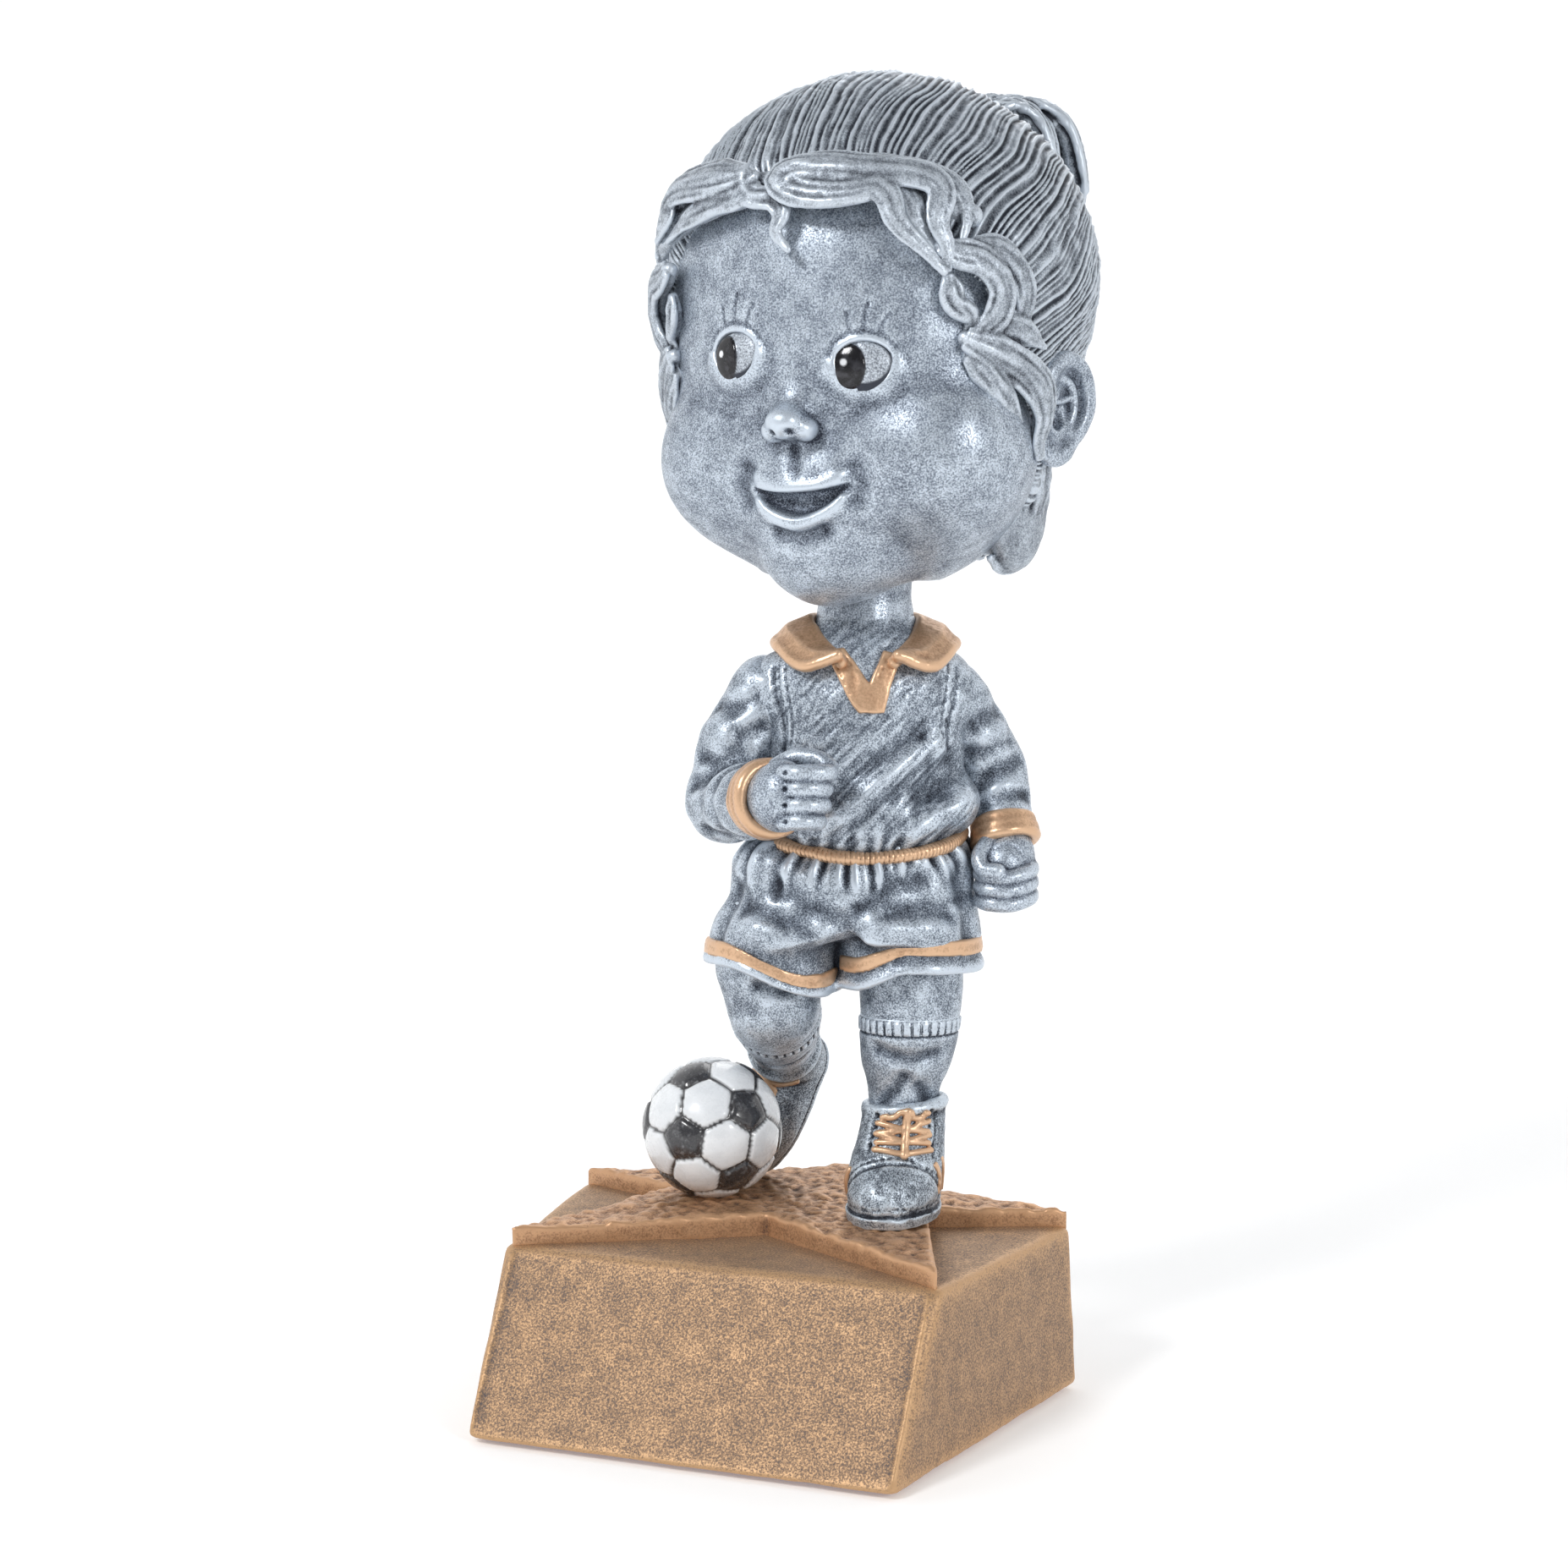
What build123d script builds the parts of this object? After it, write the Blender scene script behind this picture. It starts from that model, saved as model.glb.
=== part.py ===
"""Bobblehead football trophy: a cast-resin girl running with a ball, on a five-sided star plinth.

Frame: origin on the underside, midway between the plinth's two front corners' sides, +Z up, the plinth's
slanted front face towards -Y. The figure and the head have their own turned frames, FIGURE and HEAD.
"""

import os
from math import cos, radians, sin

from build123d import *

# ------------------------------------------------------------------ driving sizes (mm, degrees)
FELT_THICKNESS = 0.8
PLINTH_TOP = 19.1
STAR_TOP = 21.7
FRONT_Y = -22.1  # plinth front face at the bottom
FRONT_TOP_Y = -10.6  # and at the top: the front face slants
FRONT_HALF_WIDTH = 25.0
BACK_HALF_WIDTH = 32.7
BACK_CORNER_Y = 22.1
APEX_Y = 36.0
DRAFT_ANGLE = 2.4
CORNER_RADIUS = 0.8
FELT_INSET = 0.6

BALL_CENTRE = Vector(-9.8, 11.5, 29.8)
BALL_RADIUS = 8.45
PIN_RADIUS = 0.9
PIN_FOOT_Z = 13.0

NECK_X, NECK_Y = 9.7, 11.1
BODY_TURN = 21.5  # the body is turned to the right of the plinth's front
HEAD_TURN = -27.5  # and the head is turned back to the left of the body

WAIST_Z = 62.8
JERSEY_Z = 64.8
NECK_RADIUS = 5.45
NECK_FOOT_Z = 80.0
NECK_TOP_Z = 97.0

SPRING_RADIUS = 3.2
WIRE_RADIUS = 0.4
SPRING_PITCH = 1.6
SPRING_TURNS = 10
CUP_RADIUS = 4.35
CUP_BORE_RADIUS = 3.75
CUP_DEPTH = 3.0
CUP_FLOOR = 0.6
PIVOT_Z = 102.0  # the head rocks about this height, at the middle of the spring
DOME_RADIUS = 11.0
SEAT_CLEARANCE = 0.1
CAP_FOOT_Z = 109.6
CAP_BORE_TOP_Z = 111.5
PLUG_FOOT_Z = 110.0
RECESS_RADIUS = 8.6
RECESS_TOP_Z = 117.0
PLUG_CLEARANCE = 0.05

CRANIUM_RADIUS = 24.3
CRANIUM_Y = 4.0
CRANIUM_Z = 127.8  # height of its widest part
HEAD_TOP_Z = 152.2
EYE_RADIUS = 3.2
EYE_PLACES = {"left": (7.85, -15.6, 117.7), "right": (-6.5, -15.9, 119.3)}  # (x, y, z) in the head's frame
EAR_ROOT = (18.0, 2.5, 114.0)
EAR_HALF_WIDTH, EAR_HALF_HEIGHT, EAR_REACH = 3.6, 5.4, 6.6
TEMPLE_TOP, TEMPLE_END = ((20.6, -10.0, 127.5), 2.6), ((21.6, -4.6, 112.0), 2.2)  # a curl's ends and radii
NAPE_TOP, NAPE_END = ((16.5, 7.0, 105.0), 2.8), ((14.5, 8.0, 98.5), 2.6)
NOSE_RADIUS = 2.4
HAIRLINE_FRONT = (-18.0, 140.0)  # (y, z) where the seam between face and hair crosses the forehead
HAIRLINE_BACK = (10.0, 93.0)  # and where it leaves the nape

# ------------------------------------------------------------------ turned frames
turn = radians(BODY_TURN)
FIGURE = Plane(origin=(NECK_X, NECK_Y, 0), x_dir=(cos(turn), sin(turn), 0), z_dir=(0, 0, 1))
head_turn = radians(BODY_TURN + HEAD_TURN)
HEAD = Plane(origin=(NECK_X, NECK_Y, 0), x_dir=(cos(head_turn), sin(head_turn), 0), z_dir=(0, 0, 1))


def body_point(x, y, z):
    """A point given in the figure's frame."""
    return FIGURE.from_local_coords(Vector(x, y, z))


def head_point(x, y, z):
    """A point given in the head's frame."""
    return HEAD.from_local_coords(Vector(x, y, z))


# ------------------------------------------------------------------ shapes that repeat
def limb(*stations, open_end=False):
    """Round tapered limbs end to end, each station (point, radius), with a ball at every station.

    With open_end the last station has no ball, so the limb ends flat there.
    """
    balls = stations[:-1] if open_end else stations
    with BuildPart() as shape:
        for (start, start_radius), (end, end_radius) in zip(stations, stations[1:]):
            with BuildSketch(Plane(origin=start, z_dir=end - start)):
                Circle(start_radius)
            with BuildSketch(Plane(origin=end, z_dir=end - start)):
                Circle(end_radius)
            loft()
        for centre, radius in balls:
            with Locations(centre):
                Sphere(radius)
    return shape.part


def rod(start, end, radius):
    """A flat-ended round rod between two points."""
    axis = end - start
    with BuildPart() as shape:
        with BuildSketch(Plane(origin=start, z_dir=axis)):
            Circle(radius)
        extrude(amount=axis.length)
    return shape.part


def oval_loft(sections, frame=FIGURE):
    """Straight walls through level ovals, each (z, centre x, centre y, x radius, y radius)."""
    with BuildPart() as shape:
        for z, x, y, x_radius, y_radius in sections:
            with BuildSketch(frame.offset(z)):
                with Locations((x, y)):
                    Ellipse(x_radius, y_radius)
        loft(ruled=True)
    return shape.part


def round_post(plane, radius, low_z, high_z, x=0.0, y=0.0):
    """An upright cylinder between two heights."""
    with BuildPart() as shape:
        with BuildSketch(plane.offset(low_z)):
            with Locations((x, y)):
                Circle(radius)
        extrude(amount=high_z - low_z)
    return shape.part


def cut_away(*solids):
    """Takes solids off the part being built, so that neighbours meet face to face."""
    for solid in solids:
        add(solid, mode=Mode.SUBTRACT)


def finish_part(builder, name):
    """Labels the finished part and writes it."""
    builder.part.label = name
    export_step(builder.part, f"parts/{name}.step")


os.makedirs("parts", exist_ok=True)

# ------------------------------------------------------------------ dowels
LEFT_PIN_TOP, RIGHT_PIN_TOP = (28.0, 4.6, -1.5), (25.5, -13.8, 18.3)  # (z, x, y) in the figure's frame
ball_pin_solid = round_post(Plane.XY, PIN_RADIUS, PIN_FOOT_Z, BALL_CENTRE.Z, BALL_CENTRE.X, BALL_CENTRE.Y)
left_pin_solid = round_post(FIGURE, PIN_RADIUS, PIN_FOOT_Z, *LEFT_PIN_TOP)
right_pin_solid = round_post(FIGURE, PIN_RADIUS, PIN_FOOT_Z, *RIGHT_PIN_TOP)
pins = {
    "ball_pin": ball_pin_solid,
    "left_foot_pin": left_pin_solid,
    "right_toe_pin": right_pin_solid,
}
for pin_name, pin_solid in pins.items():
    with BuildPart() as pin:
        add(pin_solid)
    finish_part(pin, pin_name)

# ------------------------------------------------------------------ plinth and felt
foot_outline = [
    (-FRONT_HALF_WIDTH, FRONT_Y),
    (FRONT_HALF_WIDTH, FRONT_Y),
    (BACK_HALF_WIDTH, BACK_CORNER_Y),
    (0, APEX_Y),
    (-BACK_HALF_WIDTH, BACK_CORNER_Y),
]

with BuildPart() as felt_pad:
    with BuildSketch():
        with BuildLine():
            Polyline(*foot_outline, close=True)
        make_face()
        offset(amount=-FELT_INSET)
    extrude(amount=FELT_THICKNESS)
finish_part(felt_pad, "felt_pad")

slant = Plane(
    origin=(0, FRONT_Y, FELT_THICKNESS),
    x_dir=(1, 0, 0),
    z_dir=(0, FELT_THICKNESS - PLINTH_TOP, FRONT_TOP_Y - FRONT_Y),
)
with BuildPart() as plinth:
    with BuildSketch(Plane.XY.offset(FELT_THICKNESS)):
        with BuildLine():
            Polyline(*foot_outline, close=True)
        make_face()
    extrude(amount=PLINTH_TOP - FELT_THICKNESS, taper=DRAFT_ANGLE)
    split(bisect_by=slant, keep=Keep.BOTTOM)
    standing_edges = plinth.edges().filter_by(lambda edge: edge.bounding_box().size.Z > PLINTH_TOP / 2)
    fillet(standing_edges, radius=CORNER_RADIUS)
    cut_away(*pins.values())
finish_part(plinth, "plinth")

# ------------------------------------------------------------------ star
star_half = [
    (0, 4.5),  # front notch
    (25.7, -10.4),  # front tip
    (16.0, 15.2),  # side notch
    (31.5, 21.7),  # back-side tip
    (11.5, 25.6),  # back notch
    (0, 35.0),  # apex tip
]
star_outline = star_half + [(-x, y) for x, y in reversed(star_half[1:-1])]

with BuildPart() as soccer_ball:
    with Locations(BALL_CENTRE):
        Sphere(BALL_RADIUS)
    cut_away(ball_pin_solid)
finish_part(soccer_ball, "soccer_ball")

with BuildPart() as star_relief:
    with BuildSketch(Plane.XY.offset(PLINTH_TOP)):
        with BuildLine():
            Polyline(*star_outline, close=True)
        make_face()
    extrude(amount=STAR_TOP - PLINTH_TOP)
    with Locations(BALL_CENTRE):
        Sphere(BALL_RADIUS, mode=Mode.SUBTRACT)
    cut_away(*pins.values())
finish_part(star_relief, "star_relief")

# ------------------------------------------------------------------ standing leg (the figure's left)
with BuildPart() as left_leg:
    add(oval_loft([(42.8, 5.0, -0.5, 5.9, 5.9), (49.0, 5.1, 0, 6.4, 6.4), (57.0, 5.1, 0, 6.6, 6.6)]))
finish_part(left_leg, "left_leg")

with BuildPart() as left_sock:
    add(oval_loft([(31.5, 4.5, 0, 3.9, 3.9), (37.5, 4.7, -0.3, 4.8, 4.8), (42.8, 5.0, -0.5, 5.9, 5.9)]))
finish_part(left_sock, "left_sock")

left_shoe_sections = [
    (STAR_TOP, 3.9, -4.0, 5.2, 9.3),
    (25.5, 4.1, -3.8, 5.4, 9.4),
    (29.0, 4.6, -1.4, 5.0, 6.6),
    (33.0, 4.6, -0.2, 4.6, 4.9),
]
with BuildPart() as left_shoe:
    add(oval_loft(left_shoe_sections))
    cut_away(left_sock.part, left_pin_solid)
finish_part(left_shoe, "left_shoe")

# ------------------------------------------------------------------ kicking leg (the figure's right)
right_knee = body_point(-10.6, 0.5, 45.8)
right_calf = body_point(-10.6, 2.6, 44.6)
right_ankle = body_point(-9.6, 13.2, 38.8)
right_heel = body_point(-7.9, 17.8, 36.8)
right_toe = body_point(-13.8, 18.3, 25.1)

right_thigh_solid = limb((body_point(-9.8, 0.5, 56.0), 6.3), (right_knee, 5.4))
with BuildPart() as right_leg:
    add(right_thigh_solid)
finish_part(right_leg, "right_leg")

right_calf_solid = limb((right_calf, 5.0), (right_ankle, 3.9))
with BuildPart() as right_sock:
    add(right_calf_solid)
    cut_away(right_leg.part)
finish_part(right_sock, "right_sock")

with BuildPart() as right_shoe:
    add(limb((right_ankle, 4.2), (right_heel, 3.7), (right_toe, 3.4)))
    cut_away(right_calf_solid, right_leg.part, right_pin_solid)
finish_part(right_shoe, "right_shoe")

# ------------------------------------------------------------------ shorts
hips_solid = oval_loft(
    [(55.0, -2.0, 0, 15.2, 9.8), (58.5, -1.8, 0, 14.5, 9.6), (WAIST_Z, -0.1, 0, 11.6, 8.9)]
)
left_hem_solid = oval_loft([(48.6, 5.0, 0, 8.4, 8.2), (57.0, 4.8, 0, 8.2, 8.4)])
right_hem_solid = oval_loft([(50.6, -10.2, 0.4, 7.6, 7.8), (57.0, -9.0, 0.2, 7.6, 8.2)])
with BuildPart() as shorts:
    add(hips_solid)
    add(left_hem_solid)
    add(right_hem_solid)
    cut_away(left_leg.part, right_leg.part)
finish_part(shorts, "shorts")

with BuildPart() as waistband:
    add(oval_loft([(WAIST_Z, -0.1, 0, 11.8, 9.1), (JERSEY_Z, 0, 0, 11.8, 9.1)]))
finish_part(waistband, "waistband")

# ------------------------------------------------------------------ jersey, collar and placket


def jersey_shape(grow=0.0):
    """The jersey's blouse, chest and shoulders, thickened all round by grow."""
    profile = [
        (JERSEY_Z, 11.9, 9.2),
        (68.0, 12.4, 9.7),
        (75.0, 11.6, 9.0),
        (82.0, 12.6, 8.7),
        (86.5, 11.2, 7.6),
        (88.8, 7.2, 6.6),
    ]
    return oval_loft([(z, 0, 0, x_radius + grow, y_radius + grow) for z, x_radius, y_radius in profile])


neck_solid = round_post(FIGURE, NECK_RADIUS, NECK_FOOT_Z, NECK_TOP_Z)
with BuildPart() as jersey:
    add(jersey_shape())
    cut_away(neck_solid)
finish_part(jersey, "jersey")

collar_profile = [(5.5, 84.0), (5.5, 90.4), (6.8, 90.9), (10.4, 86.4), (10.1, 84.0)]  # (radius, z)
with BuildPart() as collar:
    with BuildSketch(Plane(origin=body_point(0, 0, 0), x_dir=FIGURE.x_dir, z_dir=-FIGURE.y_dir)):
        with BuildLine():
            Polyline(*collar_profile, close=True)
        make_face()
    revolve(axis=Axis(body_point(0, 0, 0), (0, 0, 1)))
    cut_away(jersey.part)
    with BuildSketch(FIGURE.offset(80.0)):
        with BuildLine():
            Polyline((0.5, -3.0), (6.0, -14.0), (-5.0, -14.0), close=True)
        make_face()
    extrude(amount=14.0, mode=Mode.SUBTRACT)
finish_part(collar, "collar")

PLACKET_THICKNESS = 0.6
placket_skin = jersey_shape(grow=PLACKET_THICKNESS)
with BuildPart() as placket:
    with BuildSketch(Plane(origin=body_point(0, -12, 0), x_dir=FIGURE.x_dir, z_dir=-FIGURE.y_dir)):
        with BuildLine():
            Polyline((-5.2, 86.0), (-0.7, 79.9), (2.1, 79.9), (4.6, 86.0), (2.9, 86.0), (0.8, 83.4), (-3.2, 86.0),
                     close=True)
        make_face()
    extrude(amount=-8)
    add(placket_skin, mode=Mode.INTERSECT)
    cut_away(jersey.part, collar.part, neck_solid)
finish_part(placket, "placket")

# ------------------------------------------------------------------ arms
right_shoulder = body_point(-13.0, 0, 83.0)
right_elbow = body_point(-17.0, -0.4, 69.9)
right_wrist = body_point(-11.3, -10.9, 70.6)
right_fist = body_point(-8.9, -15.0, 72.0)
left_shoulder = body_point(12.5, 0.5, 82.8)
left_elbow = body_point(15.3, 4.0, 73.6)
left_wrist = body_point(15.9, 0.5, 66.6)
left_fist = body_point(15.8, -1.6, 61.6)

CUFF_LENGTH = 2.4
CUFF_RADIUS = 4.4
WRIST_RADIUS = 2.9


def arm(side, shoulder, elbow, wrist, fist, radii):
    """Writes one arm: its sleeve, its cuff and its fist. radii are shoulder, elbow, wrist and fist."""
    shoulder_radius, elbow_radius, wrist_radius, fist_radius = radii
    forearm_axis = (wrist - elbow).normalized()
    cuff_end = wrist + forearm_axis * CUFF_LENGTH
    wrist_solid = rod(wrist, cuff_end + forearm_axis, WRIST_RADIUS)
    band = rod(wrist, cuff_end, CUFF_RADIUS)
    with BuildPart() as hand:
        add(wrist_solid)
        with Locations(fist):
            Sphere(fist_radius)
        cut_away(band - wrist_solid)
    finish_part(hand, f"{side}_hand")
    with BuildPart() as cuff:
        add(band)
        cut_away(wrist_solid, jersey.part, waistband.part, shorts.part)
    finish_part(cuff, f"{side}_cuff")
    with BuildPart() as sleeve:
        add(limb((shoulder, shoulder_radius), (elbow, elbow_radius), (wrist, wrist_radius), open_end=True))
        cut_away(jersey.part, waistband.part, shorts.part, collar.part)
    finish_part(sleeve, f"{side}_sleeve")


arm("right", right_shoulder, right_elbow, right_wrist, right_fist, (4.4, 4.6, 4.0, 3.9))
arm("left", left_shoulder, left_elbow, left_wrist, left_fist, (4.1, 3.9, 3.6, 3.7))

# ------------------------------------------------------------------ neck, spring and plug
cup_foot_z = NECK_TOP_Z - CUP_DEPTH
cup_rim_z = NECK_TOP_Z + CUP_FLOOR

with BuildPart() as spring_cup:
    add(round_post(FIGURE, CUP_RADIUS, cup_foot_z, cup_rim_z))
    cut_away(round_post(FIGURE, CUP_BORE_RADIUS, cup_foot_z + CUP_FLOOR, cup_rim_z))
finish_part(spring_cup, "spring_cup")

with BuildPart() as neck:
    add(neck_solid)
    cut_away(round_post(FIGURE, CUP_RADIUS, cup_foot_z, cup_rim_z))
finish_part(neck, "neck")

spring_foot_z = cup_foot_z + CUP_FLOOR + WIRE_RADIUS + 0.02
with BuildPart() as bobble_spring:
    with BuildLine():
        wire_path = Helix(
            pitch=SPRING_PITCH,
            height=SPRING_PITCH * SPRING_TURNS,
            radius=SPRING_RADIUS,
            center=(NECK_X, NECK_Y, spring_foot_z),
        )
    with BuildSketch(Plane(origin=wire_path @ 0, z_dir=wire_path % 0)):
        Circle(WIRE_RADIUS)
    sweep(path=wire_path, is_frenet=True)
finish_part(bobble_spring, "bobble_spring")

pivot = body_point(0, 0, PIVOT_Z)
with BuildPart() as spring_cap:
    add(round_post(FIGURE, CUP_RADIUS, CAP_FOOT_Z, PIVOT_Z + DOME_RADIUS + 1))
    with Locations(pivot):
        Sphere(DOME_RADIUS, mode=Mode.INTERSECT)
    cut_away(round_post(FIGURE, CUP_BORE_RADIUS, CAP_FOOT_Z, CAP_BORE_TOP_Z))
finish_part(spring_cap, "spring_cap")

with BuildPart() as head_plug:
    add(round_post(FIGURE, RECESS_RADIUS - PLUG_CLEARANCE, PLUG_FOOT_Z, RECESS_TOP_Z - PLUG_CLEARANCE))
    with Locations(pivot):
        Sphere(DOME_RADIUS + SEAT_CLEARANCE, mode=Mode.SUBTRACT)
finish_part(head_plug, "head_plug")

# ------------------------------------------------------------------ head and hair
seam_y, seam_z = HAIRLINE_FRONT
seam_direction = Vector(0, HAIRLINE_BACK[0] - seam_y, HAIRLINE_BACK[1] - seam_z).normalized()
seam_normal = Vector(1, 0, 0).cross(seam_direction)
hairline = Plane(
    origin=head_point(0, seam_y, seam_z),
    x_dir=HEAD.x_dir,
    z_dir=head_point(*seam_normal) - head_point(0, 0, 0),
)
recess = round_post(FIGURE, RECESS_RADIUS, 85.0, RECESS_TOP_Z)

head_sections = [
    (93.0, -4.0, 12.5, 10.0),
    (97.0, -3.5, 17.5, 13.3),
    (103.0, -3.0, 21.3, 15.5),
    (110.0, -1.5, 22.0, 17.5),
    (117.0, 1.0, 22.6, 20.0),
    (125.0, 3.5, 24.2, 23.4),
    (133.0, CRANIUM_Y, CRANIUM_RADIUS, CRANIUM_RADIUS),
    (140.0, CRANIUM_Y, 21.5, 21.3),
    (146.0, CRANIUM_Y, 16.5, 16.5),
    (150.0, CRANIUM_Y, 10.5, 10.5),
    (HEAD_TOP_Z, CRANIUM_Y, 3.5, 3.5),
]
with BuildPart() as head_blank:
    add(oval_loft([(z, 0, y, x_radius, y_radius) for z, y, x_radius, y_radius in head_sections], HEAD))

with BuildPart() as eye_pair:
    with Locations(*[head_point(*place) for place in EYE_PLACES.values()]):
        Sphere(EYE_RADIUS)

with BuildPart() as head:
    add(head_blank.part)
    add(limb((head_point(0, -12.0, 112.5), NOSE_RADIUS), (head_point(0, -19.2, 111.0), NOSE_RADIUS)))
    split(bisect_by=hairline, keep=Keep.BOTTOM)
    cut_away(recess, eye_pair.part)
finish_part(head, "head")

with BuildPart() as hair:
    add(head_blank.part)
    split(bisect_by=hairline, keep=Keep.TOP)
    cut_away(recess)
finish_part(hair, "hair")

FRINGE_REACH = 21.0
FRINGE_RADIUS = 2.6
FRINGE_ARC = 150.0
cranium_on_seam = hairline.to_local_coords(head_point(0, CRANIUM_Y, CRANIUM_Z))
fringe_centre = hairline.from_local_coords(Vector(cranium_on_seam.X, cranium_on_seam.Y, 0))
fringe_start = (-hairline.y_dir).rotate(Axis((0, 0, 0), hairline.z_dir), -FRINGE_ARC / 2)
with BuildPart() as fringe:
    with BuildSketch(Plane(origin=fringe_centre, x_dir=fringe_start, z_dir=fringe_start.cross(hairline.z_dir))):
        with Locations((FRINGE_REACH, 0)):
            Circle(FRINGE_RADIUS)
    revolve(axis=Axis(fringe_centre, hairline.z_dir), revolution_arc=FRINGE_ARC)
    cut_away(head_blank.part)
finish_part(fringe, "fringe")

def mirrored(place, sign):
    """A point given for the head's left, on the side that the sign picks."""
    x, y, z = place
    return head_point(sign * x, y, z)


for side, sign in (("left", 1), ("right", -1)):
    with BuildPart() as eye:
        with Locations(head_point(*EYE_PLACES[side])):
            Sphere(EYE_RADIUS)
        cut_away(recess)
    finish_part(eye, f"{side}_eye")

    ear_root = mirrored(EAR_ROOT, sign)
    with BuildPart() as ear:
        with BuildSketch(Plane(origin=ear_root, x_dir=HEAD.y_dir, z_dir=HEAD.x_dir)):
            Ellipse(EAR_HALF_WIDTH, EAR_HALF_HEIGHT)
        extrude(amount=sign * EAR_REACH)
        cut_away(head_blank.part)
    finish_part(ear, f"{side}_ear")

    with BuildPart() as temple_curls:
        add(limb(*[(mirrored(place, sign), radius) for place, radius in (TEMPLE_TOP, TEMPLE_END)]))
        cut_away(head_blank.part, ear.part, fringe.part)
    finish_part(temple_curls, f"{side}_temple_curls")

    with BuildPart() as nape_curls:
        add(limb(*[(mirrored(place, sign), radius) for place, radius in (NAPE_TOP, NAPE_END)]))
        cut_away(head_blank.part, ear.part, temple_curls.part)
    finish_part(nape_curls, f"{side}_nape_curls")

# the ponytail's three tresses, each (x, y, z, radius) from the tie to the tip; the outer two are mirrored
MIDDLE_TRESS = [(0, 24.0, 143.5, 5.5), (0, 30.0, 146.0, 7.4), (0, 33.0, 134.0, 6.6), (0, 32.5, 122.5, 4.6)]
SIDE_TRESS = [(5.0, 25.5, 144.5, 5.0), (8.2, 29.2, 144.0, 5.6), (8.6, 31.0, 134.0, 5.0), (6.6, 31.5, 124.5, 3.8)]
with BuildPart() as ponytail:
    add(limb(*[(head_point(x, y, z), radius) for x, y, z, radius in MIDDLE_TRESS]))
    for sign in (1, -1):
        add(limb(*[(head_point(sign * x, y, z), radius) for x, y, z, radius in SIDE_TRESS]))
    cut_away(head_blank.part)
finish_part(ponytail, "ponytail")
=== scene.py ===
"""Looks for the bobblehead football trophy: an antique silver figure on an antique bronze star plinth.

Most visible pieces are modelled in clay: a block of distances in millimetres that balls, eggs and tubes
are joined to and cut from, turned into a mesh, and finished with creases, stitches and hair grooves; the ball
is a fine sphere.
"""

from itertools import product

import bpy
import numpy as np
import openvdb
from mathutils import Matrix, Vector


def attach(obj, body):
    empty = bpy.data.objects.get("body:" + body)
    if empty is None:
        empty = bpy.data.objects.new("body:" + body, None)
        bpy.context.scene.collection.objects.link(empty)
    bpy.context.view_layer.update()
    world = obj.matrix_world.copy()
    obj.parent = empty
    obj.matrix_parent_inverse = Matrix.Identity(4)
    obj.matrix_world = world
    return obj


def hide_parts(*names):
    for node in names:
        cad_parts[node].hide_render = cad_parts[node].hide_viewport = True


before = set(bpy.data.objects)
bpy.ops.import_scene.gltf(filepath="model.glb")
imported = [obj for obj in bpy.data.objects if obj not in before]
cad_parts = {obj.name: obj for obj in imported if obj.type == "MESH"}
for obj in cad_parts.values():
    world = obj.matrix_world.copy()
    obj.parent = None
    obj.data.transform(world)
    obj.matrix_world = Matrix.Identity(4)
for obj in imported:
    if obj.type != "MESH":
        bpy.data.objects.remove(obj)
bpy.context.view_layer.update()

MM = 0.001
FAR = 4.0  # clay starts this far from any surface, in millimetres


# ------------------------------------------------------------------ local frames
class Spot:
    """A local frame in millimetres: where its origin stands in the row frame, and its turn about Z."""

    def __init__(self, x, y, degrees):
        angle = np.radians(degrees)
        self.origin = np.array([x, y, 0.0])
        cos, sin = np.cos(angle), np.sin(angle)
        self.axes = np.array([[cos, sin, 0], [-sin, cos, 0], [0, 0, 1]])

    def world(self, points):
        """Local millimetres to metres in the row frame."""
        return (np.asarray(points) @ self.axes + self.origin) * MM


NECK_X, NECK_Y = 9.7, 11.1
BASE = Spot(0, 0, 0)
FIGURE = Spot(NECK_X, NECK_Y, 21.5)
HEAD = Spot(NECK_X, NECK_Y, -6.0)


# ------------------------------------------------------------------ noise and splines
def noise(points, size, seed=0):
    """Smooth noise from -1 to 1 whose features are about size millimetres across."""
    table = np.random.default_rng(seed).uniform(-1, 1, (32, 32, 32))
    cell = np.asarray(points) / size
    base = np.floor(cell).astype(int)
    t = cell - base
    t = t * t * (3 - 2 * t)
    total = np.zeros(cell.shape[:-1])
    for corner in product((0, 1), repeat=3):
        weight = np.prod(np.where(np.array(corner) == 1, t, 1 - t), axis=-1)
        index = (base + corner) % 32
        total += weight * table[index[..., 0], index[..., 1], index[..., 2]]
    return total


def spline(points, spacing=0.35):
    """A smooth line through the points, as evenly spaced samples."""
    points = np.array(points, float)
    padded = np.vstack([2 * points[0] - points[1], points, 2 * points[-1] - points[-2]])
    pieces = []
    for a, b, c, d in zip(padded, padded[1:], padded[2:], padded[3:]):
        t = np.linspace(0, 1, 24, endpoint=False)[:, None]
        pieces.append(
            0.5 * (2 * b + (c - a) * t + (2 * a - 5 * b + 4 * c - d) * t**2 + (3 * b - a - 3 * c + d) * t**3)
        )
    line = np.vstack(pieces + [points[-1:]])
    steps = np.r_[0, np.cumsum(np.linalg.norm(np.diff(line, axis=0), axis=1))]
    count = max(int(steps[-1] / spacing), 3)
    even = np.linspace(0, steps[-1], count)
    return np.stack([np.interp(even, steps, column) for column in line.T], axis=1)


def unit(vectors):
    """The vectors at length one."""
    return vectors / np.maximum(np.linalg.norm(vectors, axis=-1, keepdims=True), 1e-9)


def smooth_step(values, low, high):
    """0 below low, 1 above high, and a smooth ramp between."""
    t = np.clip((values - low) / (high - low), 0, 1)
    return t * t * (3 - 2 * t)


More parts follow.
